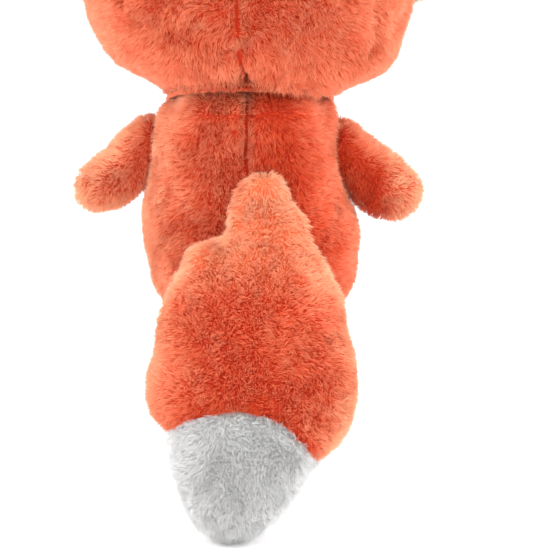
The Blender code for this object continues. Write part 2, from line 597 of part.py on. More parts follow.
nose_t = muzzle.t_of(29.6)
at, n = muzzle.point(RAD(90), nose_t), muzzle.normal(RAD(90), nose_t)
if at[2] < MUZZLE_BASE[2]:
    at, n = muzzle.point(RAD(270), nose_t), muzzle.normal(RAD(270), nose_t)
dome = [(0, -9.8), (SHANK_R, -9.8), (SHANK_R, 0.9), (4.6, 0.9), (5.2, 1.6)]
dome += [(5.2 * math.cos(RAD(a)), 1.6 + 3.6 * math.sin(RAD(a))) for a in (25, 50, 72)] + [(0, 5.2)]
v, f = turned(dome, 14, at, n)
side_way = frame_of(n)[0]
v = [p + 0.45 * ((p - at) @ side_way) * side_way * (1.0 if np.linalg.norm((p - at) - ((p - at) @ n) * n) > SHANK_R + 0.3 else 0.0) for p in v]
add("nose", "head", finish_mesh("nose", v, f, NECK_CENTRE), material("nose_plastic", BLACK, 0.25))
v, f = turned([(SHANK_R + 0.4, -5.4), (SHANK_R + 0.4, -6.6), (4.2, -6.6), (4.2, -5.4)], 12, at, n, ring=True)
add("nose_washer", "head", finish_mesh("nose_washer", v, f, NECK_CENTRE), material("nose_washer_plastic", CLEAR, 0.4))
v, f = turned([(0, -11.0), (SHANK_HOLE, -11.0), (SHANK_HOLE, 3.0), (0, 3.0)], 12, at, n)
cut(snout, cutter("cutter_nose_hole", v, f))
v, f = turned([(0, -11.5), (5.2, -11.5), (5.2, 4.0), (0, 4.0)], 12, at, n)
cut(snout_fill, cutter("cutter_nose_pocket", v, f))

smile = []
for k in range(11):
    a = RAD(-58 + 116 * k / 10)
    down = RAD(-90) if muzzle.point(RAD(270), 0.5)[2] < MUZZLE_BASE[2] else RAD(90)
    t = muzzle.t_of(27.2 - 4.2 * (a / RAD(58)) ** 2)
    smile.append(muzzle.point(down + a, t) + 1.05 * muzzle.normal(down + a, t))
thread("mouth_thread", "head", smile, 0.6, material("mouth_thread_cotton", (0.02, 0.015, 0.015), 0.8))

# Pale pointed tufts stand out of the side seams.
v, f = closed_mesh(head, 28, 20, -0.9)
head_block = cutter("cutter_head_outside", v, f)
for side, way in (("left", 1.0), ("right", -1.0)):
    tuft = Loft(TUFT, open_base=True, origin=(way * 59.0, -9.0, 208.0), along=(way * 0.93, -0.08, 0.34), side=(-0.34 * way, 0, 0.93))
    v, f = closed_mesh(tuft, 12, 6, 0.0)
    ob = add("cheek_tuft_" + side, "head", finish_mesh("cheek_tuft_" + side, v, f, NECK_CENTRE), fabric("cheek_tuft_" + side, CREAM))
    cut(ob, head_block)

cut(hb_l, hollow_neck, groove["left"])
cut(hb_r, hollow_neck, groove["right"])
cut(forehead, groove["left"], groove["right"], hollow_muzzle)
cut(cheek_l, hollow_neck, hollow_muzzle)
cut(cheek_r, hollow_neck, hollow_muzzle)
cut(head_fill, hollow_neck, hollow_muzzle, groove["left"], groove["right"], *pockets)

# ------------------------------------------------------------------ ears: a back and a front of fabric, sewn face to face


def ear_sheet(name, side, sign, mat):
    """sign +1 is the back of the ear, -1 its front. a runs along the hinge line, b up the ear."""
    line, up = ear_line[side] * (1 if side == "left" else -1), ear_up[side]
    nu, bs = 6, [-3.7, -3.0, -1.6, 0.0, 7.0, 16.0, 26.0, 35.0, 41.5, 45.0]
    near, far = [], []
    for b in bs:
        v = max(b, 0) / EAR_TALL
        half = max(EAR_HALF * (1 - v**1.6) ** 0.85, 1.4)
        mid = EAR_LEAN * v
        for i in range(nu + 1):
            w = 2 * i / nu - 1
            a = mid + half * w
            thick = EAR_THICK * (1 - 0.82 * w**4) * (1 - 0.55 * v**3)
            bow = 2.2 * v * (1 - v) * 4 * 0.5 * (1 - w * w)      # the ear is cupped towards the front
            if b < 0:
                thick = min(thick, math.sqrt(max(EAR_ROOT_R**2 - b * b, 0.3)))
            base = ear_at[side] + line * a + up * b
            y_mid = bow
            near.append(base + np.array([0, y_mid + sign * 0.25, 0]))
            far.append(base + np.array([0, y_mid + sign * max(thick, 0.9), 0]))
    n, m = nu + 1, len(bs)
    verts, faces = near + far, []
    off = n * m
    for j in range(m - 1):
        for i in range(nu):
            q = (j * n + i, j * n + i + 1, (j + 1) * n + i + 1, (j + 1) * n + i)
            faces.append(q)
            faces.append(tuple(off + k for k in reversed(q)))
    rim = [j * n for j in range(m)] + [(m - 1) * n + i for i in range(1, n)] + [j * n + nu for j in range(m - 2, -1, -1)] + [i for i in range(nu - 1, 0, -1)]
    for a, b in zip(rim, rim[1:] + rim[:1]):
        faces.append((a, b, off + b, off + a))
    return add(name, "ear_" + side, finish_mesh(name, verts, faces, PIVOTS["ear_" + side][1]), mat)


for side in ("left", "right"):
    ear_sheet("ear_back_" + side, side, 1, fabric("ear_back_" + side))
    ear_sheet("ear_front_" + side, side, -1, fabric("ear_front_" + side, CREAM))

# ------------------------------------------------------------------ arms: a back and a front panel around the stuffing
for side in ("left", "right"):
    surf, body = arms[side], "arm_" + side
    back_first = surf.point(RAD(90), 0.5)[1] > surf.point(RAD(270), 0.5)[1]
    a0, a1 = (RAD(0), RAD(180)) if back_first else (RAD(180), RAD(360))
    panel(body + "_back", body, surf, lambda u, v, p=a0: (p + u * math.pi, 0.02 + v * 0.955), 6, 8, fabric(body + "_back"))
    panel(body + "_front", body, surf, lambda u, v, p=a1: (p + u * math.pi, 0.02 + v * 0.955), 6, 8, fabric(body + "_front"))
    stuffing(body + "_stuffing", body, surf, 12, 8, inset=SKIN + 2.3)

# ------------------------------------------------------------------ legs: an outer and an inner panel, a sole, stuffing
for side in ("left", "right"):
    surf, body = legs[side], "leg_" + side
    panel(body + "_outer", body, surf, lambda u, v: (RAD(-90) + u * math.pi, v * 0.975), 6, 9, fabric(body + "_outer"), seams=(1, 1, 0, 1))
    panel(body + "_inner", body, surf, lambda u, v: (RAD(90) + u * math.pi, v * 0.975), 6, 9, fabric(body + "_inner"), seams=(1, 1, 0, 1))
    stuffing(body + "_stuffing", body, surf, 12, 9, t0=0.01)
    verts, faces, n = [], [], 20
    outline = surf.point(np.linspace(0, 2 * math.pi, n, endpoint=False), np.zeros(n))
    middle = outline.mean(0)
    for z, inset in ((0.0, 1.8), (1.2, 0.4), (2.9, 0.2)):
        for p in outline:
            way = p - middle
            far = np.linalg.norm(way[:2])
            q = middle + way * (far - inset) / far
            verts.append((q[0], q[1], z))
    for j in range(2):
        for i in range(n):
            k = (i + 1) % n
            faces.append((j * n + i, j * n + k, (j + 1) * n + k, (j + 1) * n + i))
    faces += [tuple(reversed(range(n))), tuple(range(2 * n, 3 * n))]
    name = body + "_sole"
    add(name, body, finish_mesh(name, verts, faces, PIVOTS[body][1]), fabric(name, CREAM))

# ------------------------------------------------------------------ tail: two orange panels, a pale tip in two halves, stuffing


def tip_seam(phi):
    """Height of the seam round the tail where the pale tip starts: an arch on the back, lower to the right."""
    s, c = np.sin(phi), np.cos(phi)
    low = 33.0 + 9.0 * (0.5 + 0.5 * np.clip(c * 2.0, -1, 1))
    turn = np.mod(np.degrees(phi) + 180.0, 360.0) - 180.0 - 84.0      # from the top of the arch
    arch = 0.5 + 0.5 * np.cos(math.pi * np.clip(np.where(turn < 0, -turn / 75.0, turn / 68.0), 0, 1))
    z = low + 5.0 * np.clip(-s, 0, 1) + (55.0 - low) * arch
    q = (z - tail.s0) / (tail.s1 - tail.s0)
    return np.arccos(1 - 2 * q) / math.pi


def tail_left_edges(u, v):
    phi = RAD(-90) + u * math.pi
    t = tip_seam(phi)
    return phi, t + v * (0.985 - t)


def tail_right_edges(u, v):
    phi = RAD(90) + u * math.pi
    t = tip_seam(phi)
    return phi, t + v * (0.985 - t)


def tip_left_edges(u, v):
    phi = RAD(-90) + u * math.pi
    return phi, 0.009 + v * (tip_seam(phi) - 0.009)


def tip_right_edges(u, v):
    phi = RAD(90) + u * math.pi
    return phi, 0.009 + v * (tip_seam(phi) - 0.009)


panel("tail_left", "tail", tail, tail_left_edges, 7, 11, fabric("tail_left"))
panel("tail_right", "tail", tail, tail_right_edges, 7, 11, fabric("tail_right"))
panel("tail_tip_left", "tail", tail, tip_left_edges, 7, 5, fabric("tail_tip_left", WHITE))
panel("tail_tip_right", "tail", tail, tip_right_edges, 7, 5, fabric("tail_tip_right", WHITE))
stuffing("tail_stuffing", "tail", tail, 14, 15, inset=SKIN + 2.6, t0=tail.t_of(6.5), t1=tail.t_of(128.5), level=True)
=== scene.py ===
"""Looks of the standing plush fox: padded skins with sewn seams, a pile of real fibres, glossy eyes and nose,
threads and sheared soles, on a plain pale floor in soft studio light.

The forms repeat the construction's own tables, in millimetres. They are scaled and shifted only when a mesh is made.
"""
import math

import bpy
import numpy as np
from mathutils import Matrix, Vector
from mathutils.kdtree import KDTree


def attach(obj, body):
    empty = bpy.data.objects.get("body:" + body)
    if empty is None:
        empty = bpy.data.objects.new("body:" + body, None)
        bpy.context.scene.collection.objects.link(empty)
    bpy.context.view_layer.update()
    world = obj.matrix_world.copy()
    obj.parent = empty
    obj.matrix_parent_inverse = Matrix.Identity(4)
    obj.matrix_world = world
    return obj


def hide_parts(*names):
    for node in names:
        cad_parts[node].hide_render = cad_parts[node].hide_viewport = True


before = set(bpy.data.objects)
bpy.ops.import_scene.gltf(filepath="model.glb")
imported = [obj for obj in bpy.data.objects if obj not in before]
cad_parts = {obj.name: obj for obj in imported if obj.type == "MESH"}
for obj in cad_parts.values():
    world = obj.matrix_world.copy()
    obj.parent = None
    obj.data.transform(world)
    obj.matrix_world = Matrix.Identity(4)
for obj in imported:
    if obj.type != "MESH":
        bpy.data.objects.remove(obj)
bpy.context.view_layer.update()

MM = 0.001
MIDDLE = np.array([0.0, 8.154, 0.0])
RAD = math.radians
SCENE = bpy.context.scene
HERE = SCENE.collection

# ------------------------------------------------------------------ how the pile is made
INSET = 3.2           # the backing lies this deep under the pile's outline
BACKING = 1.1         # thickness of the knitted backing
FILLING_AT = 5.6      # the filling lies this deep under the pile's outline
PILE = 4.1            # length of a fibre
DENSITY = 5.2         # fibres to a square millimetre
FIBRE = 0.106         # half a fibre's width at its thickest
CLUMP = 1.15          # distance between the middles of the wisps
MOST = 32000          # fibres in one piece

# ------------------------------------------------------------------ the forms' tables, as in the construction
NECK_CENTRE, NECK_R, NECK_HOLLOW_R, NECK_LEAN = (0.0, 5.3, 129.9), 45.0, 47.4, 10.0
TAIL_ROOT, TAIL_ROOT_R = (-6.0, 40.0, 124.0), 11.0
HIP, HIP_R = (16.8, -6.0, 52.5), 13.4
SHOULDER_L, SHOULDER_R, SHOULDER_BALL = (42.0, -3.0, 137.0), (-39.4, -3.0, 134.9), 12.3
ROOT_GAP, SEAM_X = 0.9, 1.0
EYE_R, EYE_DOME = 6.0, 4.2

TORSO = (
    (61.0, 1, 1, 0, 0), (64, 22, -24, -17, 17), (68, 31, -34, -24, 25), (74, 37, -40, -30, 31.5),
    (81, 41, -43.7, -33.5, 35.5), (89, 42.8, -45.2, -35.5, 37.5), (98.5, 44.4, -45.7, -36.5, 38.5),
    (109, 45, -43.6, -36.5, 38.5), (115.3, 44.5, -41.1, -36, 38.2), (128, 42.3, -37.7, -34.5, 37.6),
    (140, 40.9, -36, -33, 38.2), (150.6, 37.8, -34.2, -32.5, 39.8), (158, 36.5, -35, -32.5, 41),
    (164, 33, -33, -30, 39), (170, 28, -28, -22, 32), (174.9, 1, 1, 5.3, 5.3),
)
HEAD = (
    (154, 0, 0, -16, -16), (157, 27, -29, -42, 12), (160, 34, -37, -48, 22), (164, 43, -49, -54, 32),
    (168, 50, -56, -57.5, 38), (174, 57, -60.5, -60, 43.5), (182, 62, -62.8, -62, 47.5),
    (190, 65.5, -65, -63, 50), (200, 67.5, -67.5, -63, 51.5), (212, 69, -69, -61, 51.5),
    (226, 67, -67, -57, 49), (240, 60.5, -60.5, -50, 44), (254, 48, -48, -40, 35),
    (264, 33, -33, -29, 24), (271, 0, 0, -3, -3),
)
TAIL = (
    (-0.8, 6.5, 6.5, 91, 91), (2, 15.5, -3.5, 83.5, 97), (6, 20.5, -8.6, 78, 100), (12, 24.6, -15.5, 72, 103),
    (19, 27.5, -20.9, 66.5, 105), (25.5, 29.6, -25.3, 62, 106), (31, 30.6, -30.2, 58.5, 106),
    (37.7, 32, -36.3, 55, 105.5), (44, 35.5, -39.8, 52, 104.5), (51, 39.4, -41.8, 49.5, 102.5),
    (58, 39.9, -42.6, 47.5, 100), (68, 38.2, -42, 45, 95.5), (78, 36.4, -40, 43.2, 90),
    (88, 33, -38, 42.4, 84), (94, 30, -35.6, 42.2, 80), (100, 26.4, -32.5, 42.2, 75), (105, 23.6, -30, 42.2, 70.5),
    (109, 17.2, -27.3, 42.1, 66), (112, 12.4, -25.8, 41.6, 62.5), (117, 9, -23.4, 35.5, 57.5),
    (121, 6.6, -20, 30.6, 53), (124, 5, -17, 29, 51), (135, -6, -6, 40, 40),
)
LEG = (
    (3.4, 30.4, 3.2, -43, 8.5), (8, 31, 2.6, -46.5, 9.5), (14, 31, 2.6, -46.5, 9.8), (20, 30.6, 3, -42, 9.4),
    (25, 30.2, 3.4, -33, 8.8), (30, 30.1, 3.5, -24, 8.2), (36, 30.2, 3.4, -20, 7.6), (44, 30.2, 3.4, -19.5, 7.4),
    (52.5, 30.2, 3.4, -19.4, 7.4), (65.9, 16.8, 16.8, -6, -6),
)
ARM_L = (
    (-12.3, 0, 0, 0, 0), (0, 12.3, -12.3, -12.3, 12.3), (10, 11.9, -12.6, -11.6, 11.6), (20, 13.3, -12.2, -11.2, 11.2),
    (27, 13.4, -10.5, -10, 10), (33.5, 10.6, -6.9, -7, 7), (38.2, 1.3, 1.3, 0, 0),
)
ARM_R = (
    (-12.3, 0, 0, 0, 0), (0, 12.3, -12.3, -12.3, 12.3), (6, 12.6, -12.4, -12, 12), (12, 13.2, -12.7, -11.8, 11.8),
    (20, 15.4, -12.7, -11.6, 11.6), (28, 16.2, -10.8, -10, 10), (34, 12.9, -7, -7, 7), (38.6, 2.0, 2.0, 0, 0),
)
ARM_L_ALONG, ARM_R_ALONG = (0.722, 0.0, -0.692), (-0.682, 0.0, -0.731)
MUZZLE = (
    (0, 25, -25, -19, 19), (9, 24, -24, -18.3, 18.3), (17, 20, -20, -16, 16), (24, 15, -15, -13, 13),
    (29, 10, -10, -9.5, 9.5), (32, 0, 0, 0.8, 0.8),
)
MUZZLE_BASE = (0.0, -54.0, 188.0)
TUFT = ((0, 19, -17, -5.5, 5.5), (8, 16, -14.5, -5.2, 5.2), (14, 11, -10.5, -4.3, 4.3), (19, 5.5, -6, -2.8, 2.8), (22, 0, 0, 0, 0))
EAR_HALF, EAR_TALL, EAR_LEAN, EAR_THICK, EAR_ROOT_R = 18.5, 45.0, -15.0, 3.7, 3.9


def smooth_columns(t, values):
    t, y = np.asarray(t, float), np.asarray(values, float)
    h = np.diff(t)[:, None]
    d = np.diff(y, axis=0) / h
    m = np.zeros_like(y)
    same = d[:-1] * d[1:] > 0
    w1, w2 = 2 * h[1:] + h[:-1], h[1:] + 2 * h[:-1]
    with np.errstate(divide="ignore", invalid="ignore"):
        inner = (w1 + w2) / (w1 / d[:-1] + w2 / d[1:])
    m[1:-1] = np.where(same, inner, 0.0)
    m[0], m[-1] = 1.5 * d[0] - 0.5 * m[1], 1.5 * d[-1] - 0.5 * m[-2]
    return t, y, m


def read_columns(table, x):
    t, y, m = table
    x = np.clip(x, t[0], t[-1])
    k = np.clip(np.searchsorted(t, x) - 1, 0, len(t) - 2)
    h = (t[k + 1] - t[k])[..., None]
    u = ((x - t[k])[..., None]) / h
    return ((2 * u**3 - 3 * u**2 + 1) * y[k] + (u**3 - 2 * u**2 + u) * h * m[k]
            + (-2 * u**3 + 3 * u**2) * y[k + 1] + (u**3 - u**2) * h * m[k + 1])


def unit(v):
    return v / np.maximum(np.linalg.norm(v, axis=-1, keepdims=True), 1e-9)


def smooth(x, a, b):
    k = np.clip((x - a) / (b - a), 0, 1)
    return k * k * (3 - 2 * k)


class Loft:
    """A rounded form through stations along its own axis, with a padded relief on it."""

    def __init__(self, rows, open_base=False, origin=(0, 0, 0), along=(0, 0, 1), side=(1, 0, 0), seam=None,
                 ball=None, cap=None, floor=None, mirror=False):
        rows = np.array(rows, float)
        self.open_base, self.seam = open_base, seam
        self.s0, self.s1 = rows[0, 0], rows[-1, 0]
        self.table = smooth_columns([self.t_of(s) for s in rows[:, 0]], rows[:, 1:])
        ez, ex = np.array(along, float), np.array(side, float)
        ez = ez / np.linalg.norm(ez)
        ex = ex - ez * (ex @ ez)
        ex = ex / np.linalg.norm(ex)
        self.axes = np.array([ex, np.cross(ez, ex), ez])
        self.origin = np.array(origin, float)
        self.ball, self.cap, self.floor, self.mirror = ball, cap, floor, mirror
        self.relief = None            # height of the padding over the plain form, on a grid of (t, phi)
        self.bumps = []               # fuller and pinched places: middle, spread each way, height
        self.shape = None             # a last change of the points, such as the hollow that a limb lies in

    def t_of(self, s):
        q = min(max((s - self.s0) / (self.s1 - self.s0), 0.0), 1.0)
        return math.asin(q) * 2 / math.pi if self.open_base else math.acos(1 - 2 * q) / math.pi

    def s_of(self, t):
        q = np.sin(t * math.pi / 2) if self.open_base else (1 - np.cos(t * math.pi)) / 2
        return self.s0 + (self.s1 - self.s0) * q

    def plain(self, phi, t):
        phi, t = np.broadcast_arrays(np.asarray(phi, float), np.asarray(t, float))
        s, e = self.s_of(t), read_columns(self.table, t)
        left, right, front, back = e[..., 0], e[..., 1], e[..., 2], e[..., 3]
        cx = (left + right) / 2 if self.seam is None else np.full_like(left, self.seam)
        cx = np.clip(cx, np.minimum(left, right), np.maximum(left, right))
        cy = (front + back) / 2
        c, d = np.cos(phi), np.sin(phi)
        x = cx + np.where(c > 0, left - cx, cx - right) * c
        y = cy + np.where(d > 0, back - cy, cy - front) * d
        p = self.origin + np.stack([x, y, s], -1) @ self.axes
        if self.ball is not None:
            centre, radius = np.array(self.ball[0], float), self.ball[1]
            inside = s > centre[2] if self.ball[2] == "above" else s < 0
            p = np.where(inside[..., None], centre + radius * unit(p - centre), p)
        if self.cap is not None:
            centre, radius, from_z = np.array(self.cap[0], float), self.cap[1], self.cap[2]
            way = p - centre
            far = np.linalg.norm(way, axis=-1, keepdims=True)
            over = 1.6 * np.log1p(np.exp(np.clip((far - radius) / 1.6, -30, 30)))
            p = p - way / np.maximum(far, 1e-9) * over * smooth(p[..., 2:3], from_z - 8.0, from_z + 4.0)
        if self.floor is not None:
            p = np.concatenate([p[..., :2], np.maximum(p[..., 2:3], self.floor)], -1)
        if self.mirror:
            p = p * np.array([-1.0, 1.0, 1.0])
        return p

    def normal(self, phi, t):
        phi, t = np.broadcast_arrays(np.asarray(phi, float), np.asarray(t, float))
        e = 1e-3
        lo, hi = np.clip(t - e, 1e-4, 1), np.clip(t + e, 0, 1 - (0 if self.open_base else 1e-4))
        mid = np.clip(t, 1e-3, 1 - 1e-3)
        n = unit(np.cross(self.plain(phi + e, mid) - self.plain(phi - e, mid), self.plain(phi, hi) - self.plain(phi, lo)))
        return -n if self.mirror else n

    def raised(self, phi, t, p):
        """Height over the plain form at its points p: the fuller and pinched places, and the padding."""
        more = self.padding(phi, t)
        for middle, spread, height in self.bumps:
            d = (p - np.array(middle, float)) / np.array(spread, float)
            more = more + height * np.exp(-0.5 * (d * d).sum(-1))
        return more

    def padding(self, phi, t):
        """Height of the padding, read from the grid and smooth around the form."""
        phi, t = np.broadcast_arrays(np.asarray(phi, float), np.asarray(t, float))
        if self.relief is None:
            return np.zeros(phi.shape)
        g = self.relief
        m, n = g.shape[0] - 1, g.shape[1]
        x, y = (phi / (2 * math.pi) * n) % n, np.clip(t, 0, 1) * m
        i, j = np.floor(x).astype(int), np.minimum(np.floor(y).astype(int), m - 1)
        fx, fy = x - i, y - j
        fx, fy = fx * fx * (3 - 2 * fx), fy * fy * (3 - 2 * fy)
        a, b = i % n, (i + 1) % n
        return ((g[j, a] * (1 - fx) + g[j, b] * fx) * (1 - fy) + (g[j + 1, a] * (1 - fx) + g[j + 1, b] * fx) * fy)

    def outline(self, phi, t, lower=0.0):
        """The pile's outer surface, or a surface lower than it."""
        p = self.plain(phi, t)
        p = p + (self.raised(phi, t, p) - lower)[..., None] * self.normal(phi, t)
        if self.shape is not None:
            p = self.shape(p, lower)
        return p

    def depth(self, p):
        """How deep points lie inside the plain form, about, in mm. Negative is outside."""
        q = p * np.array([-1.0, 1.0, 1.0]) if self.mirror else p
        loc = (q - self.origin) @ self.axes.T
        x, y, s = loc[..., 0], loc[..., 1], loc[..., 2]
        frac = np.clip((s - self.s0) / (self.s1 - self.s0), 0, 1)
        t = np.arcsin(frac) * 2 / math.pi if self.open_base else np.arccos(1 - 2 * frac) / math.pi
        e = read_columns(self.table, t)
        cx = (e[..., 0] + e[..., 1]) / 2 if self.seam is None else np.full(s.shape, self.seam)
        cy = (e[..., 2] + e[..., 3]) / 2
        rx = np.maximum(np.where(x > cx, e[..., 0] - cx, cx - e[..., 1]), 1e-3)
        ry = np.maximum(np.where(y > cy, e[..., 3] - cy, cy - e[..., 2]), 1e-3)
        deep = (1 - np.hypot((x - cx) / rx, (y - cy) / ry)) * np.minimum(rx, ry)
        return np.where((s < self.s0) | (s > self.s1), -5.0, deep)


class Ball:
    def __init__(self, centre, radius, axis):
        ez = np.array(axis, float) / np.linalg.norm(axis)
        ex = np.array([1.0, 0, 0]) - ez * ez[0]
        ex = ex / np.linalg.norm(ex)
        self.c, self.r, self.axes = np.array(centre, float), radius, np.array([ex, np.cross(ez, ex), ez])

    def normal(self, phi, t):
        phi, t = np.broadcast_arrays(np.asarray(phi, float), np.asarray(t, float))
        return np.stack([np.cos(t) * np.cos(phi), np.cos(t) * np.sin(phi), np.sin(t)], -1) @ self.axes

    def point(self, phi, t, more=0.0):
        return self.c + (self.r + np.asarray(more, float)[..., None]) * self.normal(phi, t)


LEAN = (0.0, -math.sin(RAD(NECK_LEAN)), math.cos(RAD(NECK_LEAN)))
torso = Loft(TORSO, seam=SEAM_X, cap=(NECK_CENTRE, NECK_R, 150.0))
head = Loft(HEAD)
tail = Loft(TAIL, ball=(TAIL_ROOT, TAIL_ROOT_R, "above"), floor=0.0)
legs = {"left": Loft(LEG, open_base=True, ball=(HIP, HIP_R, "above")),
        "right": Loft(LEG, open_base=True, ball=(HIP, HIP_R, "above"), mirror=True)}
arms = {"left": Loft(ARM_L, origin=SHOULDER_L, along=ARM_L_ALONG, side=(0.692, 0, 0.722), ball=(SHOULDER_L, SHOULDER_BALL, "below")),
        "right": Loft(ARM_R, origin=SHOULDER_R, along=ARM_R_ALONG, side=(-0.731, 0, 0.682), ball=(SHOULDER_R, SHOULDER_BALL, "below"))}
muzzle = Loft(MUZZLE, open_base=True, origin=MUZZLE_BASE, along=(0, -1, -0.03), side=(1, 0, 0))
tufts = {"left": Loft(TUFT, open_base=True, origin=(59.0, -9.0, 208.0), along=(0.93, -0.08, 0.34), side=(-0.34, 0, 0.93)),
         "right": Loft(TUFT, open_base=True, origin=(-59.0, -9.0, 208.0), along=(-0.93, -0.08, 0.34), side=(0.34, 0, 0.93))}
ear_t = head.t_of(259.0)
ear_up = {"left": head.normal(0.0, ear_t), "right": head.normal(math.pi, ear_t)}
ear_at = {"left": head.plain(0.0, ear_t) + 0.8 * ear_up["left"], "right": head.plain(math.pi, ear_t) + 0.8 * ear_up["right"]}
ear_line = {k: np.cross([0.0, 1.0, 0.0], ear_up[k]) for k in ear_up}

# Fuller and pinched places of the stuffing and the sewing.
torso.bumps = [((33.9, 13, 160), (6, 12, 6.5), -4.2), ((-33.5, 15, 160), (6, 12, 6.5), -5.4), ((36.5, 2, 151.5), (6, 10, 4.2), 3.2),
               ((-34, 2, 150.5), (6, 10, 4.2), 3.8), ((-43, 2, 107), (8, 20, 9), 0.9), ((43, 2, 90), (8, 20, 9), -0.8)]
head.bumps = [((-22, 22, 160), (11, 9, 8), 2.6), ((-1, 39, 168), (6, 7, 5), -1.7), ((1.4, 48, 183), (2.5, 6, 3), -1.0),
              ((-50.5, 30, 199), (2.6, 6, 7), -1.8), ((-50.5, 27, 184), (2.6, 6, 7), -1.5), ((31.7, 45, 203), (3, 6, 6), -1.4),
              ((42, 5, 166), (8, 14, 5), -1.3), ((-40, 5, 165), (8, 14, 5), -0.9)]
tail.bumps = [((20.5, 54, 107), (4.5, 12, 4), 2.0), ((11.5, 50, 116), (3, 10, 3.5), -1.4), ((6.5, 40, 122), (3, 8, 6), 2.0)]
arms["right"].bumps = [((-59, -2, 137), (5, 9, 5), 2.6), ((-37, -3, 147.5), (3.6, 9, 4.5), 2.8)]
arms["left"].bumps = [((56, -2, 141), (5, 9, 4), 1.6), ((40.5, -3, 149.5), (4, 9, 4), 2.2)]


# ------------------------------------------------------------------ smooth noise in space, the same on every run
def waves(p, size, seed):
    """Smooth noise, about -1 to 1, with features of that size in mm."""
    r = np.random.default_rng(seed)
    k = unit(r.normal(size=(14, 3))) * (2 * math.pi / size) * r.uniform(0.5, 1.5, (14, 1))
    f = r.uniform(0, 2 * math.pi, 14)
    return np.sin(p @ k.T + f).sum(-1) / math.sqrt(14 / 2) / 1.6


# ------------------------------------------------------------------ panels: edges of each, as in the construction
t_neck = torso.t_of(170.5)


def head_seam(t):
    z = head.s_of(t)
    return RAD(85.2) + RAD(1.1) * smooth(z, 174.0, 186.0)


def brow(phi):
    z = 204.0 + 11.0 * (np.abs(phi - RAD(270)) / RAD(82)) ** 1.5
    return np.arccos(1 - 2 * (z - head.s0) / (head.s1 - head.s0)) / math.pi


def head_back_left(u, v):
    t = 0.008 + v * (0.993 - 0.008)
    return RAD(-8) + u * (head_seam(t) + RAD(8)), t


def head_back_right(u, v):
    t = 0.008 + v * (0.993 - 0.008)
    s = head_seam(t)
    return s + u * (RAD(188) - s), t


def forehead_edges(u, v):
    phi = RAD(188) + u * RAD(164)
    t = brow(phi)
    return phi, t + v * (0.993 - t)


def cheek_right_edges(u, v):
    phi = RAD(188) + u * RAD(82)
    return phi, 0.008 + v * (brow(phi) - 0.008)


def cheek_left_edges(u, v):
    phi = RAD(270) + u * RAD(82)
    return phi, 0.008 + v * (brow(phi) - 0.008)


def tip_seam(phi):
    s, c = np.sin(phi), np.cos(phi)
    low = 33.0 + 9.0 * (0.5 + 0.5 * np.clip(c * 2.0, -1, 1))
    turn = np.mod(np.degrees(phi) + 180.0, 360.0) - 180.0 - 84.0      # from the top of the arch
    arch = 0.5 + 0.5 * np.cos(math.pi * np.clip(np.where(turn < 0, -turn / 75.0, turn / 68.0), 0, 1))
    z = low + 5.0 * np.clip(-s, 0, 1) + (55.0 - low) * arch
    return np.arccos(1 - 2 * (z - tail.s0) / (tail.s1 - tail.s0)) / math.pi


def upper(start):
    def edges(u, v):
        phi = RAD(start) + u * math.pi
        t = tip_seam(phi)
        return phi, t + v * (0.985 - t)
    return edges


def lower(start):
    def edges(u, v):
        phi = RAD(start) + u * math.pi
        return phi, 0.009 + v * (tip_seam(phi) - 0.009)
    return edges


def band(start, turn, t0, t1):
    return lambda u, v: (RAD(start) + u * RAD(turn), t0 + v * (t1 - t0))


# ------------------------------------------------------------------ the padding, inflated as cloth over the filling
def rows_to_faces(rows):
    faces = []
    for a, b in zip(rows, rows[1:]):
        n = max(len(a), len(b))
        for i in range(n):
            k = (i + 1) % n
            if len(a) == 1:
                faces.append((a[0], b[k], b[i]))
            elif len(b) == 1:
                faces.append((a[i], a[k], b[0]))
            else:
                faces.append((a[i], a[k], b[k], b[i]))
    return faces


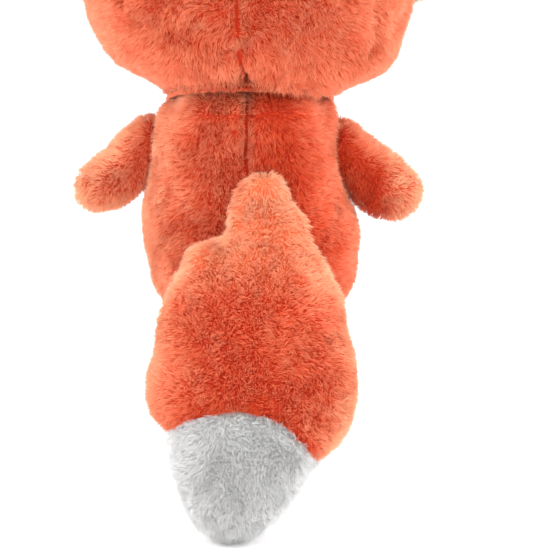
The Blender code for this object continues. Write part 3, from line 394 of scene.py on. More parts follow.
def inflate(form, seams, n, m, cap, slack):
    """Cloth laid over the form, held along its seams and blown up from inside. What it gains is read off as a height
    over the form, so the panels crown between their seams and pucker along them."""
    phis, ts = np.linspace(0, 2 * math.pi, n, endpoint=False), np.linspace(0, 1, m + 1)
    verts, rows = [], []
    for k, t in enumerate(ts):
        if (k == 0 and not form.open_base) or k == m:
            rows.append([len(verts)])
            verts.append(form.plain(0.0, t))
        else:
            rows.append(list(range(len(verts), len(verts) + n)))
            verts += list(form.plain(phis, np.full(n, t)))
    faces = rows_to_faces(rows)
    if form.mirror:
        faces = [tuple(reversed(f)) for f in faces]
    verts = np.array(verts)
    me = bpy.data.meshes.new("cloth")
    me.from_pydata([tuple(v * MM) for v in verts], [], faces)
    ob = bpy.data.objects.new("cloth", me)
    HERE.objects.link(ob)
    tree = KDTree(len(seams))
    for k, p in enumerate(seams):
        tree.insert(p, k)
    tree.balance()
    near = np.array([tree.find(v)[2] for v in verts])
    held = [int(k) for k in np.nonzero(near < 1.6)[0]] + rows[0] + rows[-1]
    ob.vertex_groups.new(name="held").add(held, 1.0, "REPLACE")
    mod = ob.modifiers.new("cloth", "CLOTH")
    s = mod.settings
    s.quality, s.mass = 5, 0.1
    s.tension_stiffness = s.compression_stiffness = 12.0
    s.shear_stiffness, s.bending_stiffness = 4.0, 0.4
    s.use_pressure, s.uniform_pressure_force = True, 4.0
    s.effector_weights.gravity = 0.0
    s.vertex_group_mass = "held"
    s.shrink_min = -slack
    mod.collision_settings.use_collision = False
    for f in range(1, 19):
        SCENE.frame_set(f)
    swollen = ob.evaluated_get(bpy.context.evaluated_depsgraph_get())
    co = np.zeros(len(verts) * 3)
    swollen.data.vertices.foreach_get("co", co)
    gain = co.reshape(-1, 3) / MM - verts
    SCENE.frame_set(1)
    bpy.data.objects.remove(ob, do_unlink=True)
    bpy.data.meshes.remove(me)
    grid = np.zeros((m + 1, n))
    for k, row in enumerate(rows):
        if len(row) > 1:
            grid[k] = (gain[row] * form.normal(phis, np.full(n, ts[k]))).sum(1)
    grid = np.clip(np.nan_to_num(grid), -cap, cap)
    grid = (grid + np.roll(grid, 1, 1) + np.roll(grid, -1, 1)) / 3
    grid[1:-1] = (grid[:-2] + 2 * grid[1:-1] + grid[2:]) / 4
    return grid


def settle(grid, share):
    """The outline stays where the construction has it: the crown is what stands over that, the seams lie below. Toward
    both ends, where the neighbours are sewn on, the relief fades."""
    t = np.linspace(0, 1, len(grid))[:, None]
    return share * (grid - np.percentile(grid, 70)) * smooth(t, 0.02, 0.22) * smooth(1 - t, 0.02, 0.22)


# ------------------------------------------------------------------ patches of a form, from which skin and pile are made
class Patch:
    """A panel: u and v run over it from 0 to 1. For the sides u=0, u=1, v=0 and v=1, groove gives how deep the seam there
    is pulled in, in mm, and part how far the pile parts along it, from 0 to 1. where gives a factor for both, by place."""

    def __init__(self, form, edges, groove=(0, 0, 0, 0), part=(0, 0, 0, 0), inset=INSET, width=1.9, where=None):
        self.form, self.edges, self.groove, self.part = form, edges, groove, part
        self.inset, self.width, self.where = inset, width, where
        g = np.linspace(0, 1, 41)
        u, v = np.meshgrid(g, g)
        p = form.outline(*edges(u, v))
        self.len_u = np.maximum(np.linalg.norm(np.diff(p, axis=1), axis=-1).sum(1), 0.2)
        self.len_v = np.maximum(np.linalg.norm(np.diff(p, axis=0), axis=-1).sum(0), 0.2)
        self.g = g
        self.sign = -1.0 if form.mirror else 1.0

    def to_seam(self, u, v):
        """For each side, the distance in mm."""
        lu, lv = np.interp(v, self.g, self.len_u), np.interp(u, self.g, self.len_v)
        return [u * lu, (1 - u) * lu, v * lv, (1 - v) * lv]

    def skin(self, u, v, lower=0.0):
        u, v = np.clip(u, 0, 1), np.clip(v, 0, 1)
        phi, t = self.edges(u, v)
        p = self.form.plain(phi, t)
        down = np.full(np.broadcast(phi, t).shape, self.inset + lower)
        factor = 1.0 if self.where is None else self.where(p)
        for d, s in zip(self.to_seam(u, v), self.groove):
            if s:
                down = down + s * factor * np.exp(-(d / self.width) ** 2)
        p = p + (self.form.raised(phi, t, p) - down)[..., None] * self.form.normal(phi, t)
        if self.form.shape is not None:
            p = self.form.shape(p, self.inset + lower)
        return p

    def normal(self, u, v, e=2e-3):
        a = self.skin(np.minimum(u + e, 1), v) - self.skin(np.maximum(u - e, 0), v)
        b = self.skin(u, np.minimum(v + e, 1)) - self.skin(u, np.maximum(v - e, 0))
        c = np.cross(a, b)
        plain = self.form.normal(*self.edges(u, v))
        c = unit(c) * self.sign
        return np.where((c * plain).sum(-1, keepdims=True) < 0.25, plain, c)

    def under(self, u, v, thick):
        return self.skin(u, v) - thick * self.normal(np.clip(u, 0.01, 0.99), np.clip(v, 0.01, 0.99))


class EarPatch:
    """One side of an ear. sign +1 is its back, -1 its front."""

    def __init__(self, side, sign):
        self.side, self.way = side, sign
        self.line, self.up, self.at = ear_line[side] * (1 if side == "left" else -1), ear_up[side], ear_at[side]
        self.groove, self.part, self.where = (0, 0, 0, 0), (0.25, 0.25, 0, 0.25), None
        self.inset = 1.5
        self.sign = 1.0
        n = np.cross(self.skin(0.51, 0.5) - self.skin(0.49, 0.5), self.skin(0.5, 0.51) - self.skin(0.5, 0.49))
        self.sign = 1.0 if n[1] * sign > 0 else -1.0

    def to_seam(self, u, v):
        return [u * 30, (1 - u) * 30, v * 48, (1 - v) * 48]

    def surface(self, u, v, less):
        u, v = np.broadcast_arrays(np.asarray(u, float), np.asarray(v, float))
        b = -3.7 + v * (EAR_TALL + 3.7)
        k = np.clip(b, 0, None) / EAR_TALL
        half = np.maximum(EAR_HALF * (1 - k**1.6) ** 0.85, 1.4)
        w = 2 * u - 1
        a = EAR_LEAN * k + half * w
        thick = EAR_THICK * (1 - 0.82 * w**4) * (1 - 0.55 * k**3)
        root = np.sqrt(np.maximum(EAR_ROOT_R**2 - b * b, 0.3))
        thick = np.where(b < 0, np.minimum(thick, root), thick)
        bow = 2.2 * k * (1 - k) * 4 * 0.5 * (1 - w * w)
        off = bow + self.way * np.maximum(thick - less, 0.35)
        return self.at + self.line * a[..., None] + self.up * b[..., None] + np.array([0.0, 1.0, 0.0]) * off[..., None]

    def skin(self, u, v, lower=0.0):
        return self.surface(u, v, self.inset + lower)

    def normal(self, u, v, e=4e-3):
        u, v = np.broadcast_arrays(np.asarray(u, float), np.asarray(v, float))
        a = self.surface(np.minimum(u + e, 1), v, 0.4) - self.surface(np.maximum(u - e, 0), v, 0.4)
        b = self.surface(u, np.minimum(v + e, 1), 0.4) - self.surface(u, np.maximum(v - e, 0), 0.4)
        return unit(np.cross(a, b)) * self.sign

    def under(self, u, v, thick):
        return self.surface(u, v, 99.0) - np.array([0, self.way * 0.2, 0])


# ------------------------------------------------------------------ materials
def ramp(nt, stops):
    r = nt.nodes.new("ShaderNodeValToRGB")
    r.color_ramp.interpolation = "EASE"
    e = r.color_ramp.elements
    e[0].position, e[0].color = stops[0][0], (*stops[0][1], 1)
    e[1].position, e[1].color = stops[-1][0], (*stops[-1][1], 1)
    for at, c in stops[1:-1]:
        e.new(at).color = (*c, 1)
    return r


def new_material(name, rough, sheen=0.0, sheen_rough=0.5, tint=(1, 1, 1), coat=0.0, specular=0.25):
    m = bpy.data.materials.new(name)
    m.use_nodes = True
    p = m.node_tree.nodes["Principled BSDF"]
    p.inputs["Roughness"].default_value = rough
    p.inputs["Sheen Weight"].default_value = sheen
    p.inputs["Sheen Roughness"].default_value = sheen_rough
    p.inputs["Sheen Tint"].default_value = (*tint, 1)
    p.inputs["Coat Weight"].default_value = coat
    p.inputs["Specular IOR Level"].default_value = specular
    return m, m.node_tree, p


def pile_material(name, deep, pale, rough=0.75, sheen=0.5, tint=(1, 1, 1)):
    """Fibres: V runs from the root to the tip, and U is how much paler the single fibre is: partly its own dye, partly
    painted light and shade.
    """
    m, nt, p = new_material(name, rough, sheen, 0.45, tint)
    uv = nt.nodes.new("ShaderNodeUVMap")
    uv.uv_map = "OFBake"
    sep = nt.nodes.new("ShaderNodeSeparateXYZ")
    nt.links.new(uv.outputs["UV"], sep.inputs["Vector"])
    mix = nt.nodes.new("ShaderNodeMix")
    mix.data_type = "RGBA"
    nt.links.new(sep.outputs["X"], mix.inputs["Factor"])
    for k, (root, body, tip) in ((6, deep), (7, pale)):
        along = ramp(nt, [(0.0, root), (0.28, root), (0.74, body), (1.0, tip)])
        nt.links.new(sep.outputs["Y"], along.inputs["Fac"])
        nt.links.new(along.outputs["Color"], mix.inputs[k])
    nt.links.new(mix.outputs[2], p.inputs["Base Color"])
    return m


def noise(nt, co, scale, detail=3.0, distortion=0.0):
    n = nt.nodes.new("ShaderNodeTexNoise")
    n.inputs["Scale"].default_value, n.inputs["Detail"].default_value, n.inputs["Distortion"].default_value = scale, detail, distortion
    nt.links.new(co, n.inputs["Vector"])
    return n


def bumped(nt, p, height, strength, mm):
    bump = nt.nodes.new("ShaderNodeBump")
    bump.inputs["Strength"].default_value, bump.inputs["Distance"].default_value = strength, mm * MM
    nt.links.new(height, bump.inputs["Height"])
    nt.links.new(bump.outputs["Normal"], p.inputs["Normal"])


def backing_material(name, dark, light, painted_light_top=None):
    """Knitted backing, seen between the fibres: a fine knit and patches that are rubbed flatter. The last argument,
    when given,
    holds two heights and a colour: above them the piece's upper part is painted paler, painted light where its top
    catches the light."""
    m, nt, p = new_material(name, 0.95, 0.15, tint=light)
    co = nt.nodes.new("ShaderNodeTexCoord").outputs["Object"]
    fine, wide = noise(nt, co, 1400.0), noise(nt, co, 90.0, 4.0)
    both = nt.nodes.new("ShaderNodeMath")
    both.operation = "MULTIPLY_ADD"
    both.inputs[1].default_value, both.inputs[2].default_value = 0.6, 0.2
    nt.links.new(fine.outputs["Fac"], both.inputs[0])
    more = nt.nodes.new("ShaderNodeMath")
    more.operation = "ADD"
    more.inputs[1].default_value = 0.5
    nt.links.new(wide.outputs["Fac"], more.inputs[0])
    mix = nt.nodes.new("ShaderNodeMath")
    mix.operation = "MULTIPLY"
    nt.links.new(both.outputs[0], mix.inputs[0])
    nt.links.new(more.outputs[0], mix.inputs[1])
    col = ramp(nt, [(0.2, dark), (0.8, light)])
    nt.links.new(mix.outputs[0], col.inputs["Fac"])
    done = col.outputs["Color"]
    # Painted light: above the two heights the colour turns paler.
    if painted_light_top:
        sep, up, over = nt.nodes.new("ShaderNodeSeparateXYZ"), nt.nodes.new("ShaderNodeMapRange"), nt.nodes.new("ShaderNodeMix")
        nt.links.new(co, sep.inputs["Vector"])
        up.interpolation_type = "SMOOTHSTEP"
        up.inputs["From Min"].default_value, up.inputs["From Max"].default_value = [(h - MIDDLE[2]) * MM for h in painted_light_top[:2]]
        nt.links.new(sep.outputs["Z"], up.inputs["Value"])
        over.data_type = "RGBA"
        nt.links.new(up.outputs["Result"], over.inputs["Factor"])
        nt.links.new(done, over.inputs[6])
        over.inputs[7].default_value = (*painted_light_top[2], 1)
        done = over.outputs[2]
    nt.links.new(done, p.inputs["Base Color"])
    bumped(nt, p, fine.outputs["Fac"], 0.6, 0.3)
    return m


def plain_material(name, colour, other, rough, scale, bump_mm=0.02, sheen=0.0, coat=0.0, spread=0.08, specular=0.5):
    """Moulded or spun surfaces: a little variation of colour and roughness, and a fine relief."""
    m, nt, p = new_material(name, rough, sheen, coat=coat, specular=specular)
    n = noise(nt, nt.nodes.new("ShaderNodeTexCoord").outputs["Object"], scale, 4.0)
    col = ramp(nt, [(0.3, colour), (0.7, other)])
    nt.links.new(n.outputs["Fac"], col.inputs["Fac"])
    nt.links.new(col.outputs["Color"], p.inputs["Base Color"])
    r = nt.nodes.new("ShaderNodeMapRange")
    r.inputs["To Min"].default_value, r.inputs["To Max"].default_value = rough - spread * rough, rough + spread * rough
    nt.links.new(n.outputs["Fac"], r.inputs["Value"])
    nt.links.new(r.outputs["Result"], p.inputs["Roughness"])
    bumped(nt, p, n.outputs["Fac"], 0.5, bump_mm)
    return m


def felt_material(name, dark, light):
    """Sheared felt of a sole: matted fibres and slightly soiled patches."""
    m, nt, p = new_material(name, 0.95, 0.4)
    co = nt.nodes.new("ShaderNodeTexCoord").outputs["Object"]
    fine, wide = noise(nt, co, 900.0, 5.0, 2.5), noise(nt, co, 70.0, 4.0)
    mix = nt.nodes.new("ShaderNodeMath")
    mix.operation = "ADD"
    nt.links.new(fine.outputs["Fac"], mix.inputs[0])
    nt.links.new(wide.outputs["Fac"], mix.inputs[1])
    half = nt.nodes.new("ShaderNodeMath")
    half.operation = "MULTIPLY"
    half.inputs[1].default_value = 0.5
    nt.links.new(mix.outputs[0], half.inputs[0])
    col = ramp(nt, [(0.35, dark), (0.65, light)])
    nt.links.new(half.outputs[0], col.inputs["Fac"])
    nt.links.new(col.outputs["Color"], p.inputs["Base Color"])
    bumped(nt, p, fine.outputs["Fac"], 0.8, 0.35)
    return m


def filling_material():
    m, nt, p = new_material("filling", 0.9, 0.3)
    n = noise(nt, nt.nodes.new("ShaderNodeTexCoord").outputs["Object"], 260.0, 6.0, 1.5)
    col = ramp(nt, [(0.3, (0.62, 0.62, 0.60)), (0.7, (0.9, 0.9, 0.88))])
    nt.links.new(n.outputs["Fac"], col.inputs["Fac"])
    nt.links.new(col.outputs["Color"], p.inputs["Base Color"])
    bumped(nt, p, n.outputs["Fac"], 0.8, 0.8)
    return m


# Each pile mixes a deep and a pale ramp: the pale one serves as a painted lit copy of the dye, the deep one as a
# painted shaded copy. Along each ramp the roots are darker and the tips paler: partly the fibres' own tipping, partly
# painted light shining through the tips.
PILES = {
    "orange": pile_material("orange_pile", ((0.72, 0.040, 0.006), (0.80, 0.066, 0.011), (0.87, 0.125, 0.028)),
                            ((0.97, 0.32, 0.15), (1.0, 0.40, 0.22), (1.0, 0.64, 0.43)), sheen=0.55, tint=(1.0, 0.60, 0.42)),
    "cream": pile_material("cream_pile", ((0.56, 0.44, 0.33), (0.76, 0.65, 0.54), (0.86, 0.79, 0.70)),
                           ((0.72, 0.61, 0.50), (0.86, 0.79, 0.70), (0.94, 0.90, 0.85))),
    "white": pile_material("white_pile", ((0.56, 0.555, 0.55), (0.66, 0.655, 0.65), (0.80, 0.795, 0.79)),
                           ((0.68, 0.68, 0.675), (0.78, 0.78, 0.775), (0.88, 0.88, 0.88)), sheen=0.8),
}
BACKS = {
    "orange": backing_material("orange_backing", (0.50, 0.030, 0.008), (0.68, 0.050, 0.014)),
    "cream": backing_material("cream_backing", (0.50, 0.41, 0.31), (0.66, 0.57, 0.46)),
    "white": backing_material("white_backing", (0.50, 0.50, 0.49), (0.60, 0.60, 0.59)),
}
# The tail's backing is painted paler over its upper part, painted light where the tail's top catches the light.
TAIL_BACK = backing_material("tail_backing", (0.50, 0.030, 0.008), (0.68, 0.050, 0.014), painted_light_top=(90.0, 114.0, (0.92, 0.19, 0.07)))
FILLING = filling_material()
FELT = felt_material("sole_felt", (0.50, 0.42, 0.33), (0.74, 0.66, 0.56))
EYE = plain_material("eye_gloss", (0.004, 0.004, 0.005), (0.010, 0.009, 0.009), 0.06, 60.0, 0.004, coat=0.15, specular=0.3)
NOSE = plain_material("nose_satin", (0.006, 0.006, 0.007), (0.014, 0.012, 0.012), 0.24, 900.0, 0.03, specular=0.3)
WASHER = plain_material("washer_moulded", (0.70, 0.70, 0.66), (0.78, 0.78, 0.75), 0.42, 400.0)
# The orange thread's colour is darkened, painted shade, so that where it shows at the neck it reads as pile in shadow;
# the closing stitch shares it.
ORANGE_THREAD = plain_material("orange_cotton", (0.26, 0.040, 0.016), (0.40, 0.065, 0.026), 0.8, 3000.0, 0.05, sheen=0.3)
BLACK_THREAD = plain_material("black_cotton", (0.010, 0.008, 0.008), (0.03, 0.024, 0.022), 0.6, 3000.0, 0.05, sheen=0.4)


# ------------------------------------------------------------------ making meshes
def place(v):
    return (np.asarray(v, float) - MIDDLE) * MM


def mesh_object(name, verts, faces, mat):
    me = bpy.data.meshes.new(name)
    me.from_pydata(place(verts).tolist(), [], faces)
    me.update()
    me.shade_smooth()
    me.set_sharp_from_angle(angle=RAD(50))
    me.materials.append(mat)
    ob = bpy.data.objects.new(name, me)
    HERE.objects.link(ob)
    return ob


def grid_shell(name, outer, inner, mat, wrap=False):
    """A closed shell between two grids of points, rows along v and columns along u."""
    m, n = outer.shape[0], outer.shape[1]
    verts = np.concatenate([outer.reshape(-1, 3), inner.reshape(-1, 3)])
    half, faces = m * n, []
    for j in range(m - 1):
        for i in range(n if wrap else n - 1):
            a, b, c, d = j * n + i, j * n + (i + 1) % n, (j + 1) * n + (i + 1) % n, (j + 1) * n + i
            faces.append((a, b, c, d))
            faces.append((half + a, half + d, half + c, half + b))
    if wrap:
        for i in range(n):
            k = (i + 1) % n
            faces.append((half + i, half + k, k, i))
            top = (m - 1) * n
            faces.append((top + i, top + k, half + top + k, half + top + i))
    else:
        rim = [j * n for j in range(m)] + [(m - 1) * n + i for i in range(1, n)] + [j * n + n - 1 for j in range(m - 2, -1, -1)] + list(range(n - 2, 0, -1))
        for a, b in zip(rim, rim[1:] + rim[:1]):
            faces.append((a, b, half + b, half + a))
    return mesh_object(name, verts, faces, mat)


def ball_mesh(name, centre, radius, n=48, m=28):
    verts, rows = [], []
    for k in range(m + 1):
        lat = -math.pi / 2 + math.pi * k / m
        if k in (0, m):
            rows.append([len(verts)])
            verts.append(np.array(centre) + [0, 0, radius * math.sin(lat)])
        else:
            rows.append(list(range(len(verts), len(verts) + n)))
            verts += [np.array(centre) + radius * np.array([math.cos(lat) * math.cos(2 * math.pi * i / n), math.cos(lat) * math.sin(2 * math.pi * i / n), math.sin(lat)]) for i in range(n)]
    return mesh_object(name, np.array(verts), rows_to_faces(rows), FILLING)


def turned(profile, n, origin, axes, wide=1.0, ring=False):
    verts, rows = [], []
    for r, h in profile:
        if r == 0:
            rows.append([len(verts)])
            verts.append(origin + h * axes[2])
        else:
            rows.append(list(range(len(verts), len(verts) + n)))
            verts += [origin + np.array([wide * r * math.cos(2 * math.pi * k / n), r * math.sin(2 * math.pi * k / n), h]) @ axes for k in range(n)]
    return np.array(verts), rows_to_faces(rows + ([rows[0]] if ring else []))


def closed_form(name, form, n, m, inset, mat, t0=0.0, t1=1.0, level=False, back=0.0):
    """The form as a closed solid, moved inwards by inset. With level set, each ring shrinks in its own plane. back moves
    the square end of an open base further out."""
    ts = np.linspace(t0, t1, m + 1)
    pole0, pole1 = (t0 == 0.0 and not form.open_base), t1 == 1.0
    phis = np.linspace(0, 2 * math.pi, n, endpoint=False)
    verts, rows = [], []
    for k, t in enumerate(ts):
        if (k == 0 and pole0) or (k == m and pole1):
            way = unit(form.normal(phis, np.full(n, 0.03 if k == 0 else 0.97)).mean(0))
            rows.append([len(verts)])
            verts.append(form.plain(0.0, t) - inset * way)
        else:
            tt = np.full(n, t)
            if level:
                p, nn = form.plain(phis, tt), form.normal(phis, tt)
                p = p + form.raised(phis, tt, p)[:, None] * nn
                way = p - p.mean(0)
                far = np.linalg.norm(way, axis=-1, keepdims=True)
                less = inset / np.maximum(np.linalg.norm(nn[:, :2], axis=-1, keepdims=True), 0.4)
                p = p.mean(0) + way * (np.maximum(far - less, 1.0) / far)
            else:
                p = form.outline(phis, tt, inset)
            if k == 0 and back:
                p = p - form.axes[2] * back
            rows.append(list(range(len(verts), len(verts) + n)))
            verts += list(p)
    for at in (0, -1):
        if len(rows[at]) > 1:
            verts.append(np.mean([verts[k] for k in rows[at]], axis=0))
            rows.insert(0 if at == 0 else len(rows), [len(verts) - 1])
    faces = rows_to_faces(rows)
    if form.mirror:
        faces = [tuple(reversed(f)) for f in faces]
    return mesh_object(name, np.array(verts), faces, mat)


def cylinder(name, r, h0, h1, at, axes, n=32):
    return mesh_object(name, *turned([(0, h0), (r, h0), (r, h1), (0, h1)], n, at, axes), FILLING)


def frame_of(along, side=(1, 0, 0)):
    ez = np.array(along, float) / np.linalg.norm(along)
    ex = np.array(side, float) - ez * (np.array(side, float) @ ez)
    ex = ex / np.linalg.norm(ex)
    return np.array([ex, np.cross(ez, ex), ez])


def cut_out(ob, cutters):
    """Takes the cutters' volumes out of a piece, for good."""
    for tool in cutters:
        mod = ob.modifiers.new("cut", "BOOLEAN")
        mod.operation, mod.solver, mod.object = "DIFFERENCE", "EXACT", tool
    if cutters:
        dg = bpy.context.evaluated_depsgraph_get()
        dg.update()
        me = bpy.data.meshes.new_from_object(ob.evaluated_get(dg))
        old = ob.data
        ob.modifiers.clear()
        ob.data = me
        bpy.data.meshes.remove(old)
        me.name = ob.name
    return ob


def plied(name, points, radius, mat, plies=2, lay=2.4, cyclic=False, sides=8, per_turn=8):
    """A sewing thread: plies twisted about the line through the points, each a round tube with closed ends."""
    pts = np.array(points, float)
    if cyclic:
        pts = np.concatenate([pts, pts[:1]])
    seg = np.linalg.norm(np.diff(pts, axis=0), axis=1)
    s = np.concatenate([[0], np.cumsum(seg)])
    count = max(int(s[-1] / lay * per_turn), 8)
    q = np.linspace(0, s[-1], count + 1)[: count + (0 if cyclic else 1)]
    tt, yy, mm = smooth_columns(s, pts) if not cyclic else (None, None, None)
    line = read_columns((tt, yy, mm), q) if not cyclic else np.stack([np.interp(q, s, pts[:, k]) for k in range(3)], -1)
    if cyclic:
        tan = unit(np.roll(line, -1, 0) - np.roll(line, 1, 0))
    else:
        tan = unit(np.gradient(line, axis=0))
    ref = np.array([0.0, 0.0, 1.0]) if abs(tan[:, 2]).mean() < 0.8 else np.array([1.0, 0.0, 0.0])
    a = unit(np.cross(tan, ref))
    b = np.cross(tan, a)
    turns = max(round(s[-1] / lay), 1)
    verts, faces = [], []
    r_ply = radius * (0.52 if plies == 2 else 0.46)
    off = radius - r_ply
    for ply in range(plies):
        ang = 2 * math.pi * (turns * q / s[-1] + ply / plies)
        mid = line + off * (np.cos(ang)[:, None] * a + np.sin(ang)[:, None] * b)
        base = len(verts)
        for k in range(len(q)):
            for i in range(sides):
                w = 2 * math.pi * i / sides
                verts.append(mid[k] + r_ply * (math.cos(w) * a[k] + math.sin(w) * b[k]))
        n = len(q)
        for k in range(n if cyclic else n - 1):
            for i in range(sides):
                j = (i + 1) % sides
                k2 = (k + 1) % n
                faces.append((base + k * sides + i, base + k * sides + j, base + k2 * sides + j, base + k2 * sides + i))
        if not cyclic:
            faces.append(tuple(base + i for i in reversed(range(sides))))
            faces.append(tuple(base + (n - 1) * sides + i for i in range(sides)))
    return mesh_object(name, np.array(verts), faces, mat)


# ------------------------------------------------------------------ the pile
def flow_of(body):
    """The way the nap lies, for points of a body."""
    if body.startswith("arm_left"):
        return lambda p: np.broadcast_to(np.array(ARM_L_ALONG), p.shape)
    if body.startswith("arm_right"):
        return lambda p: np.broadcast_to(np.array(ARM_R_ALONG), p.shape)
    if body.startswith("ear"):
        return lambda p: np.broadcast_to(ear_up["left" if "left" in body else "right"], p.shape)
    if body == "tail":
        return lambda p: np.broadcast_to(np.array([0.05, 0.25, -1.0]), p.shape)
    if body == "face":
        return lambda p: unit(p - np.array([0.0, -95.0, 196.0])) + np.array([0, 0.2, 0.1])
    if body == "muzzle":
        return lambda p: np.array([0, 1.0, 0]) + 0.3 * unit((p - np.array([0, -80, 188.0])) * np.array([1, 0, 1]))
    if body.startswith("tuft"):
        return lambda p: np.stack([np.sign(p[:, 0]), 0 * p[:, 0], 0.35 + 0 * p[:, 0]], -1)
    if body.startswith("leg"):
        return lambda p: np.array([0, 0, -1.0]) + np.array([0, -1.2, 0]) * np.clip((24 - p[:, 2:3]) / 12, 0, 1)
    if body == "torso":
        return lambda p: np.stack([0.016 * (p[:, 0] - SEAM_X), 0.15 + 0 * p[:, 0], -1 + 2.4 * smooth(p[:, 2], 162.5, 166.0)], -1)
    return lambda p: np.stack([0.016 * (p[:, 0] - SEAM_X), 0.15 + 0 * p[:, 0], -1 + 0 * p[:, 0]], -1)


def comb_of(p, n, body):
    """The direction, along the surface, in which the nap lies there."""
    f = unit(flow_of(body)(p) + 1e-6)
    f = unit(f - n * (f * n).sum(-1, keepdims=True))
    turn = 1.1 * waves(p, 34.0, 11) + 0.9 * waves(p, 9.0, 12)
    if body == "tail":
        turn = turn * (1 - 0.7 * smooth(p[:, 2], 96.0, 116.0))
    return f * np.cos(turn)[:, None] + np.cross(n, f) * np.sin(turn)[:, None]


def sample(patch, count, rng):
    """Points spread evenly over the patch, as u and v. Without a count, the patch's area."""
    n = 90
    g = np.linspace(0, 1, n + 1)
    u, v = np.meshgrid(g, g)
    p = patch.skin(u, v)
    a, b = p[1:, 1:] - p[:-1, :-1], p[1:, :-1] - p[:-1, 1:]
    area = 0.5 * np.linalg.norm(np.cross(a, b), axis=-1)
    total = area.sum()
    if count is None:
        return total
    cell = rng.choice(area.size, size=count, p=(area / total).ravel())
    j, i = cell // n, cell % n
    return (i + rng.random(count)) / n, (j + rng.random(count)) / n


def dye_and_painted_light(p, n, body):
    """How pale the pile is: a base tone for each body, paler on the limbs, with painted light and shade over it: paler
    where it faces up or to the sides.
    """
    tone = {"head": 0.38, "torso": 0.31, "tail": 0.14, "neck": 0.20}.get(body, 0.45)
    side = n[:, 0] ** 2
    out = tone + 0.28 * np.clip(n[:, 2], 0, 1) + (0.12 if body == "head" else 0.36) * side
    if body == "tail":
        # The upper part catches the light and is painted paler, a painted highlight, and its sides get a painted rim
        # light; a band down its upper left edge, by the root, is darker.
        out = out + 0.48 * smooth(p[:, 2], 84.0, 108.0) + 0.22 * smooth(p[:, 2], 108.0, 122.0) + 0.16 * side
        # Painted rim light: the white tip is paler where it faces toward -x.
        out = out + 0.5 * smooth(-n[:, 0], 0.2, 0.8) * (p[:, 2] < 56)
        line = -0.6 + 0.6 * (129.5 - p[:, 2])
        out = out - 0.75 * smooth(p[:, 0], line - 0.8, line + 0.6) * smooth(p[:, 2], 112.0, 116.0) * (p[:, 1] > 34)
    # Painted light on the arms: paler where they face up; painted shade near the body, painted light toward their outer
    # ends.
    if body.startswith("arm"):
        out = out + 0.3 * np.clip(n[:, 2], 0, 1)
    if body == "arm_left":
        out = out - 0.12 + 0.65 * smooth(p[:, 0], 44.0, 58.0)
    if body == "arm_right":
        out = out - 0.40 + 0.95 * smooth(-p[:, 0], 51.0, 61.0)
    # Painted shade on the torso: darker under the head, and over the right half of its back.
    if body == "torso":
        out = out - 0.14 * smooth(p[:, 2], 148.0, 160.0) - 0.30 * smooth(-p[:, 0], -2.0, 12.0) * (p[:, 1] > 0)
    return out


def lying(p, body):
    """How much flatter than elsewhere the pile lies there."""
    if body == "tail":
        return 1 + 1.4 * smooth(p[:, 2], 94.0, 112.0)
    if body == "torso":
        return 1 + 2.2 * smooth(p[:, 2], 163.5, 167.0)
    return np.ones(len(p))


def strands(name, verts, norms, tone, colour):
    """A mesh of fibres. Each has a root, three points round its middle and a tip."""
    count = len(verts)
    tri = np.array([(0, 2, 1), (0, 3, 2), (0, 1, 3), (1, 2, 4), (2, 3, 4), (3, 1, 4)])
    index = ((np.arange(count) * 5)[:, None, None] + tri[None]).reshape(-1).astype(np.int32)
    me = bpy.data.meshes.new(name)
    me.vertices.add(count * 5)
    me.vertices.foreach_set("co", place(verts.reshape(-1, 3)).astype(np.float32).ravel())
    me.loops.add(len(index))
    me.loops.foreach_set("vertex_index", index)
    me.polygons.add(len(index) // 3)
    me.polygons.foreach_set("loop_start", np.arange(0, len(index), 3, dtype=np.int32))
    uv = me.uv_layers.new(name="OFBake")
    du, dv = np.array([0.0, -0.006, 0.0, 0.006, 0.0]), np.array([0.02, 0.5, 0.5, 0.5, 0.98])
    per = np.stack([tone[:, None] + du[None], np.broadcast_to(dv, (count, 5))], -1).reshape(-1, 2)
    uv.data.foreach_set("uv", per[index].astype(np.float32).ravel())
    me.update(calc_edges=True)
    me.shade_smooth()
    me.normals_split_custom_set_from_vertices(norms.reshape(-1, 3).astype(np.float32))
    me.materials.append(PILES[colour])
    ob = bpy.data.objects.new(name, me)
    HERE.objects.link(ob)
    return ob


